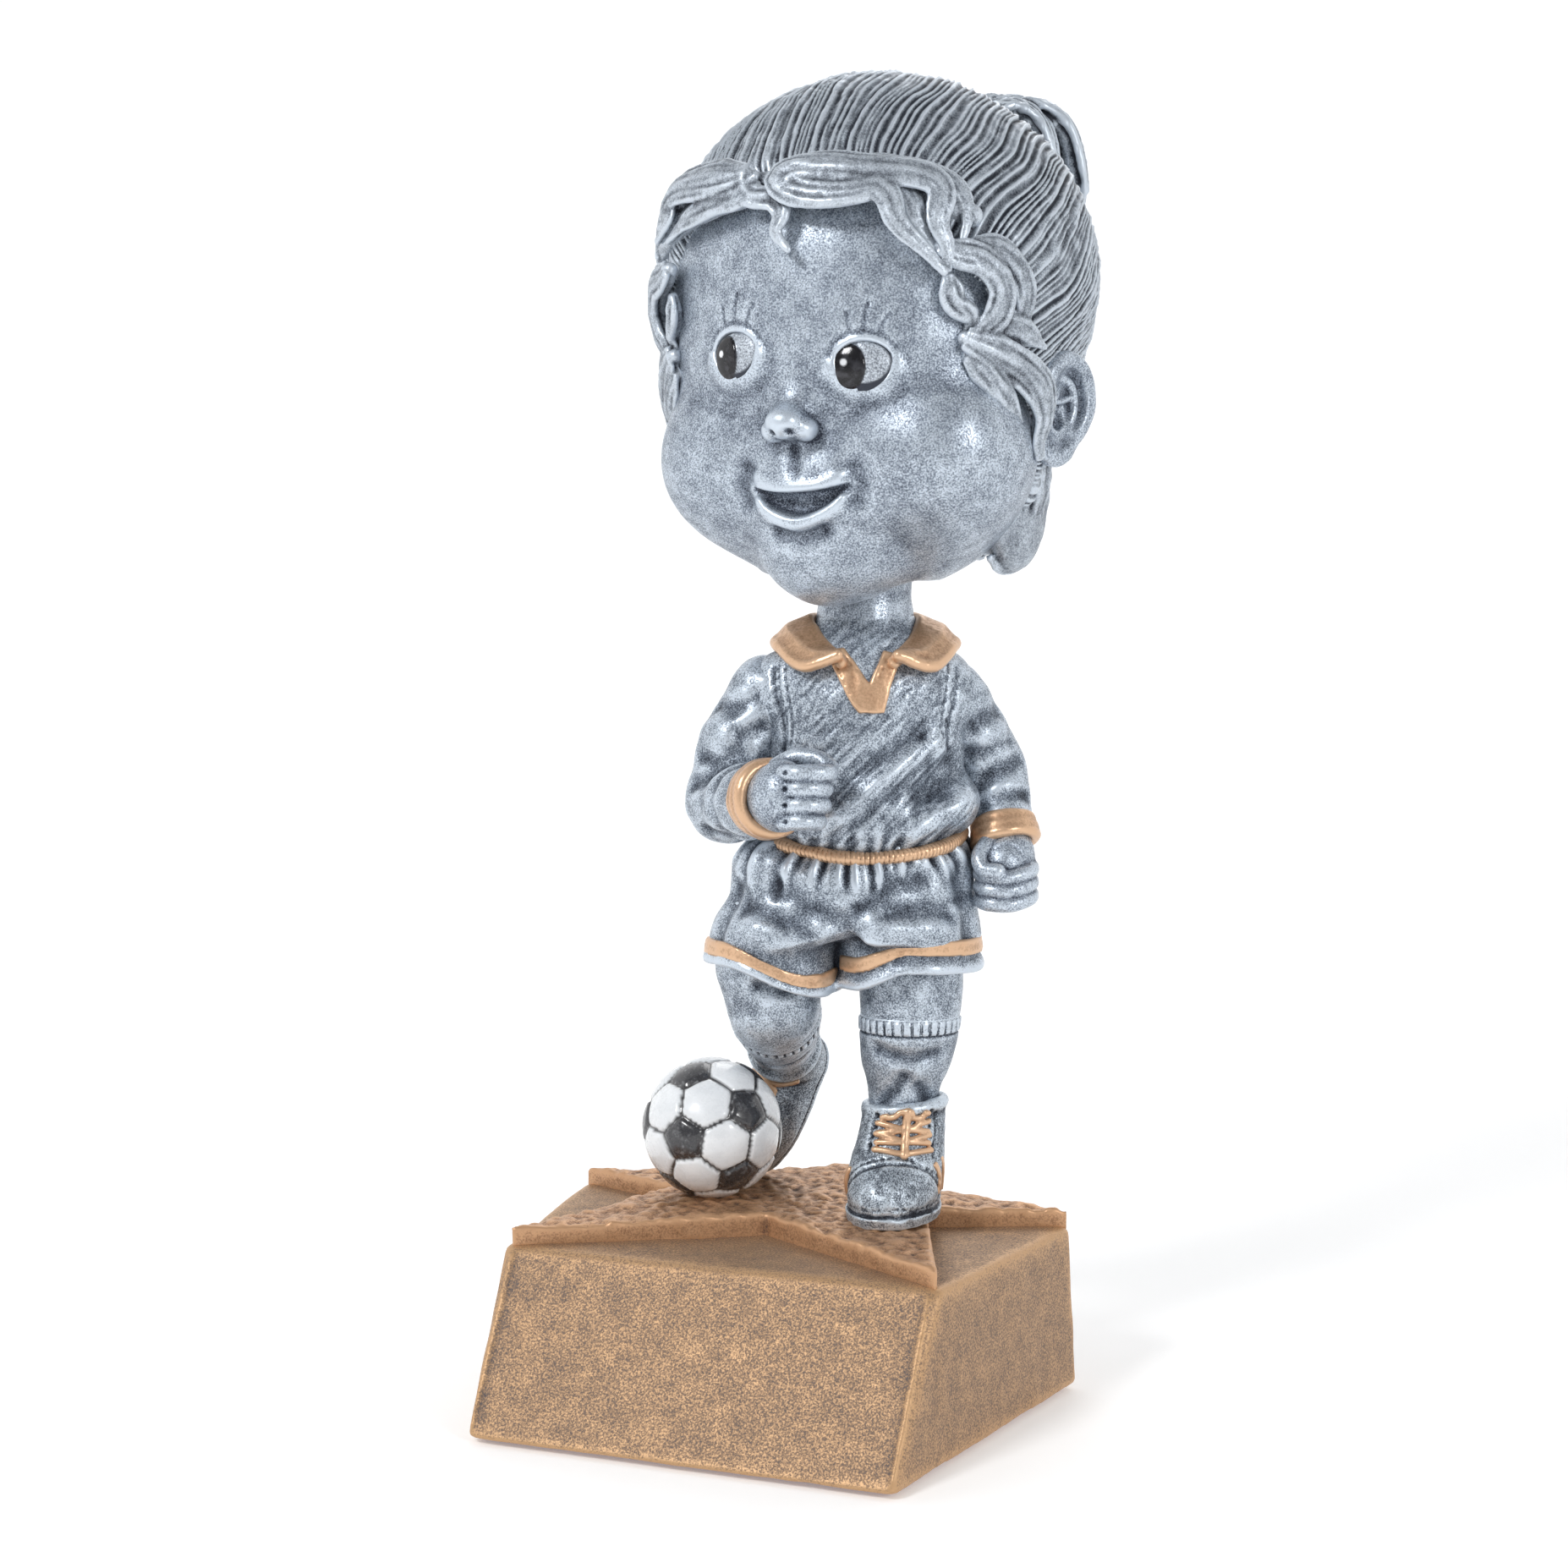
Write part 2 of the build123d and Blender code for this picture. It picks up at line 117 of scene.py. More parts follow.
# ------------------------------------------------------------------ clay
def soft_min(a, b, blend):
    """The nearer of two distances, with a fillet about blend millimetres wide."""
    if blend <= 0:
        return np.minimum(a, b)
    h = np.maximum(blend - np.abs(a - b), 0) / blend
    return np.minimum(a, b) - h * h * blend * 0.25


class Clay:
    """A block of distances to a surface, negative inside, on a grid in local millimetres."""

    def __init__(self, low, high, step):
        self.low = np.array(low, float)
        self.step = step
        counts = np.ceil((np.array(high, float) - self.low) / step).astype(int) + 1
        self.field = np.full(counts, FAR, np.float32)

    def window(self, low, high):
        """The grid's slices over a region, and its x, y and z there."""
        first = np.floor((np.asarray(low) - self.low) / self.step).astype(int)
        last = np.ceil((np.asarray(high) - self.low) / self.step).astype(int) + 1
        first = np.clip(first, 0, self.field.shape)
        last = np.clip(last, 0, self.field.shape)
        lines = [
            (self.low[k] + self.step * np.arange(first[k], last[k])).astype(np.float32) for k in range(3)
        ]
        slices = tuple(slice(a, b) for a, b in zip(first, last))
        return slices, *np.meshgrid(*lines, indexing="ij", sparse=True)

    def merge(self, slices, distance, blend, cut):
        """Joins a distance to the clay, or cuts it away."""
        here = self.field[slices]
        if cut:
            self.field[slices] = -soft_min(-here, distance, blend)
        else:
            self.field[slices] = soft_min(here, distance, blend)

    def shape(self, distance, low=None, high=None, blend=0.0, cut=False):
        """Joins or cuts any distance function of x, y and z, within a region."""
        low = self.low if low is None else np.asarray(low, float)
        high = self.low + self.step * np.array(self.field.shape) if high is None else np.asarray(high, float)
        slices, x, y, z = self.window(low, high)
        self.merge(slices, distance(x, y, z).astype(np.float32), blend, cut)

    def egg(self, centre, radii, blend=0.0, cut=False, turn=None):
        """An ellipsoid; turn is a 3 x 3 matrix whose rows are its own axes."""
        centre, radii = np.array(centre, float), np.array(np.broadcast_to(radii, 3), float)
        reach = max(radii) + blend + 3 * self.step + 1.0
        axes = np.eye(3) if turn is None else np.array(turn, float)

        def distance(x, y, z):
            offset = (x - centre[0], y - centre[1], z - centre[2])
            own = [sum(axes[k][i] * offset[i] for i in range(3)) for k in range(3)]
            k0 = np.sqrt(sum((own[k] / radii[k]) ** 2 for k in range(3)))
            k1 = np.sqrt(sum((own[k] / radii[k] ** 2) ** 2 for k in range(3)))
            return k0 * (k0 - 1) / np.maximum(k1, 1e-6)

        self.shape(distance, centre - reach, centre + reach, blend, cut)

    def tube(self, points, radii, blend=0.0, cut=False):
        """A round tube along points, with a radius at each."""
        points = np.array(points, float)
        radii = np.broadcast_to(radii, len(points)).astype(float)
        reach = radii.max() + blend + 2 * self.step
        slices, x, y, z = self.window(points.min(0) - reach, points.max(0) + reach)
        if min(x.size, y.size, z.size) == 0:
            return
        whole = np.full((x.size, y.size, z.size), FAR, np.float32)
        lows = [x.ravel()[0], y.ravel()[0], z.ravel()[0]]
        for a, b, ra, rb in zip(points, points[1:], radii, radii[1:]):
            near = max(ra, rb) + blend + 2 * self.step
            first = [max(int((min(a[k], b[k]) - near - lows[k]) / self.step), 0) for k in range(3)]
            last = [max(int((max(a[k], b[k]) + near - lows[k]) / self.step) + 2, 0) for k in range(3)]
            cells = tuple(slice(f, n) for f, n in zip(first, last))
            dx, dy, dz = x[cells[0]] - a[0], y[:, cells[1]] - a[1], z[:, :, cells[2]] - a[2]
            run = b - a
            length2 = max(float(run @ run), 1e-9)
            t = np.clip((dx * run[0] + dy * run[1] + dz * run[2]) / length2, 0, 1)
            away = np.sqrt((dx - t * run[0]) ** 2 + (dy - t * run[1]) ** 2 + (dz - t * run[2]) ** 2)
            whole[cells] = np.minimum(whole[cells], away - (ra + t * (rb - ra)))
        self.merge(slices, whole, blend, cut)

    def value(self, points):
        """The distance at any points, between the grid's own."""
        cell = (np.asarray(points) - self.low) / self.step
        cell = np.clip(cell, 0, np.array(self.field.shape) - 1.001)
        base = cell.astype(int)
        t = cell - base
        total = np.zeros(cell.shape[:-1])
        for corner in product((0, 1), repeat=3):
            weight = np.prod(np.where(np.array(corner) == 1, t, 1 - t), axis=-1)
            index = base + corner
            total += weight * self.field[index[..., 0], index[..., 1], index[..., 2]]
        return total

    def slope(self, points):
        """The outward direction of the clay's surface near points."""
        offsets = np.eye(3) * self.step
        return unit(np.stack([self.value(points + o) - self.value(points - o) for o in offsets], axis=-1))

    def onto(self, points, lift=0.0):
        """The points moved to lie lift millimetres above the clay's surface."""
        points = np.array(points, float)
        for _ in range(6):
            points = points + self.slope(points) * (lift - self.value(points))[..., None]
        return points


# ------------------------------------------------------------------ meshes
def corner_normals(points, quads):
    """A normal at each vertex."""
    a, b, c, d = (points[quads[:, k]] for k in range(4))
    face = np.cross(c - a, d - b)
    total = np.zeros_like(points)
    for k, axis in product(range(4), range(3)):
        total[:, axis] += np.bincount(quads[:, k], face[:, axis], len(points))
    return unit(total)


def relaxed(points, quads, rounds):
    """The points after rounds of moving each one halfway to the mean of its neighbours."""
    starts = quads.ravel()
    ends = np.roll(quads, -1, axis=1).ravel()
    count = np.bincount(starts, minlength=len(points)) + np.bincount(ends, minlength=len(points))
    for _ in range(rounds):
        total = np.empty_like(points)
        for k in range(3):
            before = np.bincount(ends, points[starts, k], len(points))
            total[:, k] = np.bincount(starts, points[ends, k], len(points)) + before
        points = 0.5 * points + 0.5 * total / count[:, None]
    return points


def put_in_scene(name, data):
    """An object that shows the data, linked into the scene."""
    piece = bpy.data.objects.new(name, data)
    bpy.context.scene.collection.objects.link(piece)
    return piece


def add_mesh(name, spot, points, quads, marks):
    """A smooth-shaded object from local points; marks are named numbers kept at each vertex."""
    mesh = bpy.data.meshes.new(name)
    mesh.vertices.add(len(points))
    mesh.vertices.foreach_set("co", spot.world(points).astype(np.float32).ravel())
    mesh.loops.add(quads.size)
    mesh.loops.foreach_set("vertex_index", quads.astype(np.int32).ravel())
    mesh.polygons.add(len(quads))
    mesh.polygons.foreach_set("loop_start", np.arange(0, quads.size, quads.shape[1], dtype=np.int32))
    mesh.update(calc_edges=True)
    mesh.shade_smooth()
    for mark, values in marks.items():
        mesh.attributes.new(mark, "FLOAT", "POINT").data.foreach_set("value", values.astype(np.float32))
    return put_in_scene(name, mesh)


FINE_ROUNDS, BROAD_ROUNDS = 8, 60


def hollows(points, quads, normals):
    """How far each vertex lies below its surroundings, in millimetres, near by and further round."""
    fine = relaxed(points, quads, FINE_ROUNDS)
    broad = relaxed(fine, quads, BROAD_ROUNDS)
    return ((fine - points) * normals).sum(1), ((broad - points) * normals).sum(1)


def sculpted(name, clay, spot, body, replaces, material, detail=None, marks=None):
    """Fires the clay: its surface becomes a piece that stands for CAD nodes.

    detail(points, normals) is how far each vertex moves out, and marks(points, normals) gives more
    named numbers for the material.
    """
    grid = openvdb.FloatGrid(FAR)
    grid.copyFromArray(clay.field)
    points, quads = grid.convertToQuads(0.0)
    points = clay.low + clay.step * np.asarray(points, float)
    quads = np.asarray(quads, int)
    a, b, c = (points[quads[:, k]] for k in range(3))
    if (a * np.cross(b, c)).sum() < 0:
        quads = quads[:, ::-1]
    points = relaxed(points, quads, 1)
    normals = corner_normals(points, quads)
    named = marks(points, normals) if marks else {}
    if detail:
        points = points + normals * detail(points, normals)[:, None]
        normals = corner_normals(points, quads)
    # near places the dark wash in fine hollows; wide places painted shade in broad valleys
    near, wide = hollows(points, quads, normals)
    named.update(near=near, wide=wide)
    piece = add_mesh(name, spot, points, quads, named)
    piece.data.materials.append(material)
    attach(piece, body)
    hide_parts(*replaces)
    print(f"{name}: {len(quads)} quads")
    return piece


# ------------------------------------------------------------------ materials
class Shader:
    """A node material under construction."""

    def __init__(self, name, **values):
        self.material = bpy.data.materials.new(name)
        self.material.use_nodes = True
        self.nodes = self.material.node_tree.nodes
        self.links = self.material.node_tree.links
        self.surface = self.nodes["Principled BSDF"]
        for socket, value in values.items():
            self.surface.inputs[socket.replace("_", " ")].default_value = value
        self.place = self.nodes.new("ShaderNodeTexCoord").outputs["Object"]

    def node(self, kind, settings=None, **inputs):
        """A node with its settings and its inputs, which are numbers or other nodes' sockets."""
        made = self.nodes.new("ShaderNode" + kind)
        for key, value in (settings or {}).items():
            setattr(made, key, value)
        for key, value in inputs.items():
            socket = made.inputs[int(key[1:])] if key[1:].isdigit() else made.inputs[key.replace("_", " ")]
            if isinstance(value, bpy.types.NodeSocket):
                self.links.new(value, socket)
            else:
                socket.default_value = value
        return made

    def math(self, operation, a, b=0.0, clamp=False):
        return self.node("Math", {"operation": operation, "use_clamp": clamp}, _0=a, _1=b).outputs[0]

    def noise(self, size_mm, detail=2.0, roughness=0.5):
        """Noise whose features are about size_mm across, as a number near 0.5."""
        made = self.node("TexNoise", Vector=self.place, Scale=1 / (size_mm * MM), Detail=detail,
                         Roughness=roughness)
        return made.outputs["Fac"]

    def mark(self, name):
        return self.node("Attribute", {"attribute_name": name}).outputs["Fac"]

    def ramp(self, value, low, high, to_low=0.0, to_high=1.0):
        """The value from low..high onto to_low..to_high, held at both ends."""
        made = self.node("MapRange", {"clamp": True}, Value=value)
        for key, number in (("From Min", low), ("From Max", high), ("To Min", to_low), ("To Max", to_high)):
            made.inputs[key].default_value = number
        return made.outputs["Result"]

    def mix(self, amount, first, second):
        made = self.node("Mix", {"data_type": "RGBA"}, _0=amount)
        for index, colour in ((6, first), (7, second)):
            if isinstance(colour, bpy.types.NodeSocket):
                self.links.new(colour, made.inputs[index])
            else:
                made.inputs[index].default_value = (*colour, 1)
        return made.outputs[2]

    def bump(self, height, distance_mm, strength=1.0, normal=None):
        made = self.node("Bump", Height=height, Distance=distance_mm * MM, Strength=strength)
        if normal is not None:
            self.links.new(normal, made.inputs["Normal"])
        return made.outputs["Normal"]

    def wire(self, socket, value):
        self.links.new(value, self.surface.inputs[socket])


def antique(name, dark, middle, bright, metallic, roughness, grain_mm=0.19, grain_share=0.55,
            cloud_share=0.28, hollow_gain=1.0, wash=0.24):
    """Metal paint over a dark wash in fine hollows and fine grains, painted shade in broad valleys; high
    spots rubbed bright.
    """
    shader = Shader(name, Metallic=metallic)
    grain = shader.noise(grain_mm, detail=3.0, roughness=0.65)
    cloud = shader.noise(2.4, detail=4.0, roughness=0.6)
    # near marks fine hollows: the finish's dark wash, which in deep pockets also stands in for shade
    hollow = shader.math("MULTIPLY", shader.mark("near"), 5.5 * hollow_gain)
    # wide marks broad valleys: this darkening is painted shade, not wash
    valley = shader.math("MULTIPLY", shader.mark("wide"), 0.6 * hollow_gain)
    depth = shader.math("ADD", hollow, valley)
    # hollows go darker (dark wash and painted shade), ridges lighter (rubbed wear)
    rubbed = shader.math("MULTIPLY", depth, -1.0)
    speck = shader.ramp(grain, 0.36, 0.62)
    patch = shader.ramp(cloud, 0.32, 0.68)
    level = shader.math("ADD", shader.math("MULTIPLY", speck, grain_share),
                        shader.math("MULTIPLY", patch, cloud_share))
    level = shader.math("ADD", level, wash)
    level = shader.math("ADD", level, rubbed, clamp=True)
    low = shader.mix(shader.ramp(level, 0.0, 0.5), dark, middle)
    colour = shader.mix(shader.ramp(level, 0.5, 1.0), low, bright)
    shader.wire("Base Color", colour)
    shader.wire("Roughness", shader.ramp(level, 0.1, 1.0, roughness + 0.28, roughness))
    tooth = shader.bump(grain, 0.03, 0.6)
    shader.wire("Normal", shader.bump(cloud, 0.09, 0.35, tooth))
    return shader.material


SILVER = antique(
    "antique_silver", (0.018, 0.023, 0.038), (0.20, 0.235, 0.29), (0.60, 0.67, 0.75), 0.55, 0.33,
    grain_share=0.62, wash=0.14)
CLOTH_SILVER = antique(
    "antique_silver_cloth", (0.016, 0.02, 0.032), (0.15, 0.18, 0.225), (0.60, 0.67, 0.75), 0.5, 0.36,
    grain_share=0.6, wash=0.12)
BOOT_SILVER = antique(
    "antique_silver_boots", (0.012, 0.014, 0.022), (0.11, 0.13, 0.16), (0.58, 0.65, 0.72), 0.5, 0.36,
    grain_share=0.66, hollow_gain=1.2, wash=0.09)
HAIR_SILVER = antique(
    "antique_silver_hair", (0.022, 0.026, 0.038), (0.23, 0.26, 0.30), (0.58, 0.64, 0.71), 0.5, 0.38,
    grain_share=0.4, hollow_gain=1.1, wash=0.2)
BRONZE = antique(
    "antique_bronze", (0.12, 0.108, 0.115), (0.28, 0.182, 0.115), (0.545, 0.335, 0.175), 0.45, 0.46,
    grain_mm=0.22, grain_share=0.72, cloud_share=0.2, hollow_gain=0.5, wash=0.10)
ROUGH_BRONZE = antique(
    "rough_bronze", (0.11, 0.075, 0.06), (0.34, 0.185, 0.10), (0.59, 0.345, 0.19), 0.5, 0.42,
    grain_mm=0.24, hollow_gain=0.8, wash=0.27)
GOLD_PAINT = antique(
    "gold_paint", (0.09, 0.052, 0.036), (0.43, 0.255, 0.15), (0.70, 0.455, 0.285), 0.6, 0.33,
    grain_mm=0.3, grain_share=0.3, hollow_gain=1.2, wash=0.38)


def plain_metal(name, colour, roughness, worn):
    """Bare metal with fine scuffs and a slow change of tone."""
    shader = Shader(name, Metallic=1.0)
    scuff = shader.noise(0.3, detail=4.0, roughness=0.7)
    tone = shader.noise(3.0, detail=2.0)
    shader.wire("Base Color", shader.mix(shader.ramp(tone, 0.3, 0.7), colour, worn))
    shader.wire("Roughness", shader.ramp(scuff, 0.3, 0.7, roughness, roughness + 0.2))
    shader.wire("Normal", shader.bump(scuff, 0.02, 0.3))
    return shader.material


SPRING_STEEL = plain_metal("spring_steel", (0.55, 0.56, 0.58), 0.22, (0.40, 0.41, 0.43))
STEEL = plain_metal("dowel_steel", (0.50, 0.50, 0.50), 0.3, (0.36, 0.35, 0.34))
BRASS = plain_metal("brass_fitting", (0.78, 0.57, 0.26), 0.28, (0.60, 0.42, 0.18))


def wood_material():
    """Pale turned wood: rings about the plug's upright axis."""
    shader = Shader("plug_wood", Roughness=0.6)
    rings = shader.node("TexWave", {"wave_type": "RINGS", "rings_direction": "Z"}, Vector=shader.place,
                        Scale=260.0, Distortion=3.0, Detail=3.0).outputs["Fac"]
    fibre = shader.noise(0.4, detail=3.0)
    shader.wire("Base Color", shader.mix(rings, (0.55, 0.36, 0.19), (0.40, 0.24, 0.115)))
    shader.wire("Normal", shader.bump(fibre, 0.05, 0.5))
    return shader.material


def felt_material():
    """Red-brown felt: matted fibres, lighter where they stand up."""
    shader = Shader("felt", Roughness=0.95)
    fibre = shader.noise(0.25, detail=5.0, roughness=0.75)
    patch = shader.noise(4.0, detail=2.0)
    base = shader.mix(shader.ramp(patch, 0.3, 0.7), (0.20, 0.035, 0.03), (0.28, 0.055, 0.045))
    shader.wire("Base Color", shader.mix(shader.ramp(fibre, 0.45, 0.75), base, (0.42, 0.13, 0.10)))
    shader.wire("Normal", shader.bump(fibre, 0.2, 0.8))
    return shader.material


WOOD = wood_material()
FELT = felt_material()


def ball_material():
    """Glossy paint: white six-sided panels, dark five-sided ones with silver rubbed through, black seams."""
    shader = Shader("ball_paint", Coat_Weight=0.6, Coat_Roughness=0.12)
    wear = shader.noise(0.7, detail=4.0, roughness=0.7)
    scratch = shader.ramp(wear, 0.56, 0.7)
    black = shader.mix(scratch, (0.03, 0.03, 0.034), (0.17, 0.175, 0.185))
    cloud = shader.noise(3.5, detail=2.0)
    white = shader.mix(shader.ramp(cloud, 0.3, 0.7), (0.72, 0.745, 0.77), (0.82, 0.84, 0.86))
    panels = shader.mix(shader.mark("dark_panel"), white, black)
    shader.wire("Base Color", shader.mix(shader.mark("seam"), panels, (0.03, 0.028, 0.03)))
    shader.wire("Roughness", shader.ramp(wear, 0.3, 0.7, 0.22, 0.34))
    shader.wire("Normal", shader.bump(wear, 0.04, 0.3))
    return shader.material


BALL_PAINT = ball_material()


# ------------------------------------------------------------------ shapes that repeat
def stack(sections):
    """A distance function for a body through level ovals, each (z, x, y, x radius, y radius)."""
    rows = spline(sections, 0.5)

    def distance(x, y, z):
        centre_x, centre_y, radius_x, radius_y = (np.interp(z, rows[:, 0], rows[:, k]) for k in range(1, 5))
        dx, dy = x - centre_x, y - centre_y
        k0 = np.sqrt((dx / radius_x) ** 2 + (dy / radius_y) ** 2)
        k1 = np.sqrt((dx / radius_x**2) ** 2 + (dy / radius_y**2) ** 2)
        wall = k0 * (k0 - 1) / np.maximum(k1, 1e-6)
        return np.maximum(wall, np.maximum(rows[0, 0] - z, z - rows[-1, 0]))

    return distance


def ring(centre_x, centre_y, radius_x, radius_y, height, count=72):
    """Points once round an oval, anticlockwise; height is a number or a function of the angle."""
    angles = np.radians(np.linspace(0, 360, count))
    level = height(angles) if callable(height) else np.full(count, float(height))
    return np.stack([centre_x + radius_x * np.cos(angles), centre_y + radius_y * np.sin(angles), level],
                    axis=1)


def crease(clay, points, radius, blend=0.6, lift=0.0):
    """A soft groove along points laid on the surface."""
    clay.tube(clay.onto(spline(points), lift), radius, blend, cut=True)


def welt(clay, points, radius, blend=0.6, lift=0.0):
    """A soft ridge along points laid on the surface."""
    clay.tube(clay.onto(spline(points), lift), radius, blend)


def stitches(clay, points, length=0.9, gap=0.55, radius=0.17):
    """A row of short pressed stitches along points laid on the surface."""
    line = clay.onto(spline(points, 0.1))
    stride = int((length + gap) / 0.1)
    for start in range(0, len(line) - stride, stride):
        clay.tube(line[start : start + int(length / 0.1)], radius, 0.1, cut=True)


def tapered(count, start, full, end):
    """A lock's breadth along its length: from a share start, swelling to full, and narrowing to end."""
    along = np.linspace(0, 1, count)
    return np.interp(along, [0, 0.18, 0.6, 1], [start, full, full * 0.9, end])


PLIES = 2  # each strand of a lock is a pair of finer ones


def lock(clay, line, width, strands, blend=0.26, start=0.5, end=0.12, lift=0.0, centre=(0, 4, 125)):
    """A lock of hair along a line: strands side by side, crowned in the middle and coming to a point."""
    line = spline(line, 0.5)
    run = unit(np.gradient(line, axis=0))
    out = unit(line - np.array(centre, float))
    out = unit(out - run * (out * run).sum(1)[:, None])
    side = np.cross(run, out)
    breadth = width * tapered(len(line), start, 1.0, end)
    along = np.linspace(0, 1, len(line))
    clay.tube(line + out * (lift - 0.1 * width), 0.33 * breadth, blend)
    strands = strands * PLIES
    for k in range(strands):
        share = (k + 0.5) / strands - 0.5
        sway = share + 0.3 / strands * np.sin(along * 9 + 2.4 * k + len(line))
        crown = (0.25 - share**2) * width * 0.55
        middle = line + side * (breadth * sway)[:, None] + out * (lift + crown * breadth / width)[:, None]
        radius = np.maximum(breadth / strands * (0.72 + 0.16 * np.sin(k * 2.1)), 0.17)
        clay.tube(middle, radius, blend)


def mirrored(side, *points):
    """Points given for the figure's left side, put on the side wanted: 1 is left and -1 is right."""
    return np.array([(side * x, y, z) for x, y, z in points])


def clay_at(side, low, high, step):
    """A block of clay given for the figure's left side, on the side wanted."""
    if side < 0:
        low, high = (-high[0], *low[1:]), (-low[0], *high[1:])
    return Clay(low, high, step)


# ------------------------------------------------------------------ plinth, star and felt
PLINTH_FOOT, PLINTH_TOP, STAR_TOP = 0.8, 19.1, 21.7
PLINTH_RIM = 0.3  # the resin's lower edge, just clear of the table
FRONT_Y, FRONT_TOP_Y = -22.1, -10.6
FOOT = [(-25.0, FRONT_Y), (25.0, FRONT_Y), (32.7, 22.1), (0.0, 36.0), (-32.7, 22.1)]
DRAFT = np.radians(2.4)


def wall_distance(x, y, z, start, end):
    """How far a point is outside the drafted plinth wall that stands on the line from start to end."""
    (ax, ay), (bx, by) = start, end
    length = np.hypot(bx - ax, by - ay)
    level = ((x - ax) * (by - ay) - (y - ay) * (bx - ax)) / length
    return level * np.cos(DRAFT) + (z - PLINTH_FOOT) * np.sin(DRAFT)


def plinth_piece():
    """The five-sided plinth: worn edges, slightly wavy cast faces, and a bead along each front corner."""
    clay = Clay((-35, -24.5, -0.5), (35, 38, 20.5), 0.4)
    clay.shape(lambda x, y, z: z - PLINTH_TOP)
    face = np.array([FRONT_TOP_Y - FRONT_Y, PLINTH_TOP - PLINTH_FOOT])
    normal_y, normal_z = -face[1] / np.hypot(*face), face[0] / np.hypot(*face)

    def keep(distance, blend):
        clay.shape(lambda x, y, z: -distance(x, y, z), blend=blend, cut=True)

    keep(lambda x, y, z: (y - FRONT_Y) * normal_y + (z - PLINTH_FOOT) * normal_z, 0.7)
    for start, end in zip(FOOT[1:], FOOT[2:] + FOOT[:1]):
        keep(lambda x, y, z: wall_distance(x, y, z, start, end), 0.8)
    keep(lambda x, y, z: PLINTH_RIM - z, 0.5)
    for side in (-1, 1):
        bead = [(side * 24.7, FRONT_Y + 0.2, 1.6), (side * 24.9, -11.4, 18.4)]
        clay.tube(spline(bead), 0.22, 0.5)

    def cast(points, normals):
        return 0.10 * noise(points, 7.0, 1) + 0.05 * noise(points, 2.2, 2)

    return sculpted("plinth_cast", clay, BASE, "stand", ["plinth"], BRONZE, cast)


STAR_HALF = [(0, 4.5), (25.7, -10.4), (16, 15.2), (31.5, 21.7), (11.5, 25.6), (0, 35)]
STAR = STAR_HALF + [(-x, y) for x, y in STAR_HALF[-2:0:-1]]


def outline_distance(x, y, corners):
    """The level distance to a closed outline, negative inside."""
    nearest, inside = np.full(np.broadcast(x, y).shape, 1e9), np.zeros(np.broadcast(x, y).shape, bool)
    for (ax, ay), (bx, by) in zip(corners, corners[1:] + corners[:1]):
        run_x, run_y = bx - ax, by - ay
        t = np.clip(((x - ax) * run_x + (y - ay) * run_y) / (run_x**2 + run_y**2), 0, 1)
        nearest = np.minimum(nearest, np.hypot(x - ax - t * run_x, y - ay - t * run_y))
        crosses = (ay > y) != (by > y)
        inside ^= crosses & (x < run_x * (y - ay) / (run_y if run_y else 1e-9) + ax)
    return np.where(inside, -nearest, nearest)


def star_piece():
    """The raised star: smooth sides, a turf-like broken top, thinner towards its points."""
    clay = Clay((-33.5, -12.5, 18.2), (33.5, 37, 23.6), 0.3)

    def star(x, y, z):
        level = outline_distance(x, y, STAR)
        reach = np.hypot(x, y - 14.0)
        top = STAR_TOP - 0.5 * smooth_step(reach, 13, 27)
        return np.maximum(-soft_min(-level, -(z - top), 0.5), 18.6 - z)

    clay.shape(star)

    def turf(points, normals):
        up = smooth_step(normals[:, 2], 0.35, 0.85)
        rough = 0.34 * noise(points, 1.5, 3) + 0.24 * noise(points, 0.75, 4) + 0.18 * noise(points, 3.4, 5)
        return rough * (0.18 + 0.82 * up) * 0.75

    return sculpted("star_turf", clay, BASE, "stand", ["star_relief"], ROUGH_BRONZE, turf)


FELT_INSET = 1.1


def felt_piece():
    """The felt glued under the plinth, with a slightly ragged cut edge."""
    clay = Clay((-34, -24, -0.6), (34, 37, 1.6), 0.4)

    def pad(x, y, z):
        level = outline_distance(x, y, FOOT) + FELT_INSET
        return -soft_min(-level, -(np.abs(z - 0.42) - 0.42), 0.25)

    clay.shape(pad)

    def fuzz(points, normals):
        return 0.07 * noise(points, 0.8, 6) * (1 - np.abs(normals[:, 2]))

    return sculpted("felt_base_pad", clay, BASE, "stand", ["felt_pad"], FELT, fuzz)


# ------------------------------------------------------------------ the ball
BALL_CENTRE, BALL_RADIUS = np.array([-9.8, 11.5, 29.8]), 8.45
BALL_TILT = (-5, 7, -34)  # degrees about x, y and z
PENTAGON_DEPTH, HEXAGON_DEPTH = 2.3274, 2.2673  # how far a panel lies from the centre, in edge lengths


def ball_panels():
    """The directions of the 12 five-sided and 20 six-sided panels, with their depths."""
    golden = (1 + 5**0.5) / 2
    corners = [
        np.roll((0, a, b * golden), k) for a, b in product((1, -1), repeat=2) for k in range(3)
    ]
    corners = unit(np.array(corners, float))
    near = np.linalg.norm(corners[:, None] - corners[None], axis=2) < 1.2
    faces = [
        corners[i] + corners[j] + corners[k]
        for i in range(12)
        for j in range(i + 1, 12)
        for k in range(j + 1, 12)
        if near[i, j] and near[j, k] and near[i, k]
    ]
    rx, ry, rz = np.radians(BALL_TILT)
    turn_x = np.array([[1, 0, 0], [0, np.cos(rx), -np.sin(rx)], [0, np.sin(rx), np.cos(rx)]])
    turn_y = np.array([[np.cos(ry), 0, np.sin(ry)], [0, 1, 0], [-np.sin(ry), 0, np.cos(ry)]])
    turn_z = np.array([[np.cos(rz), -np.sin(rz), 0], [np.sin(rz), np.cos(rz), 0], [0, 0, 1]])
    turn = turn_z @ turn_y @ turn_x
    return corners @ turn.T / PENTAGON_DEPTH, unit(np.array(faces)) @ turn.T / HEXAGON_DEPTH


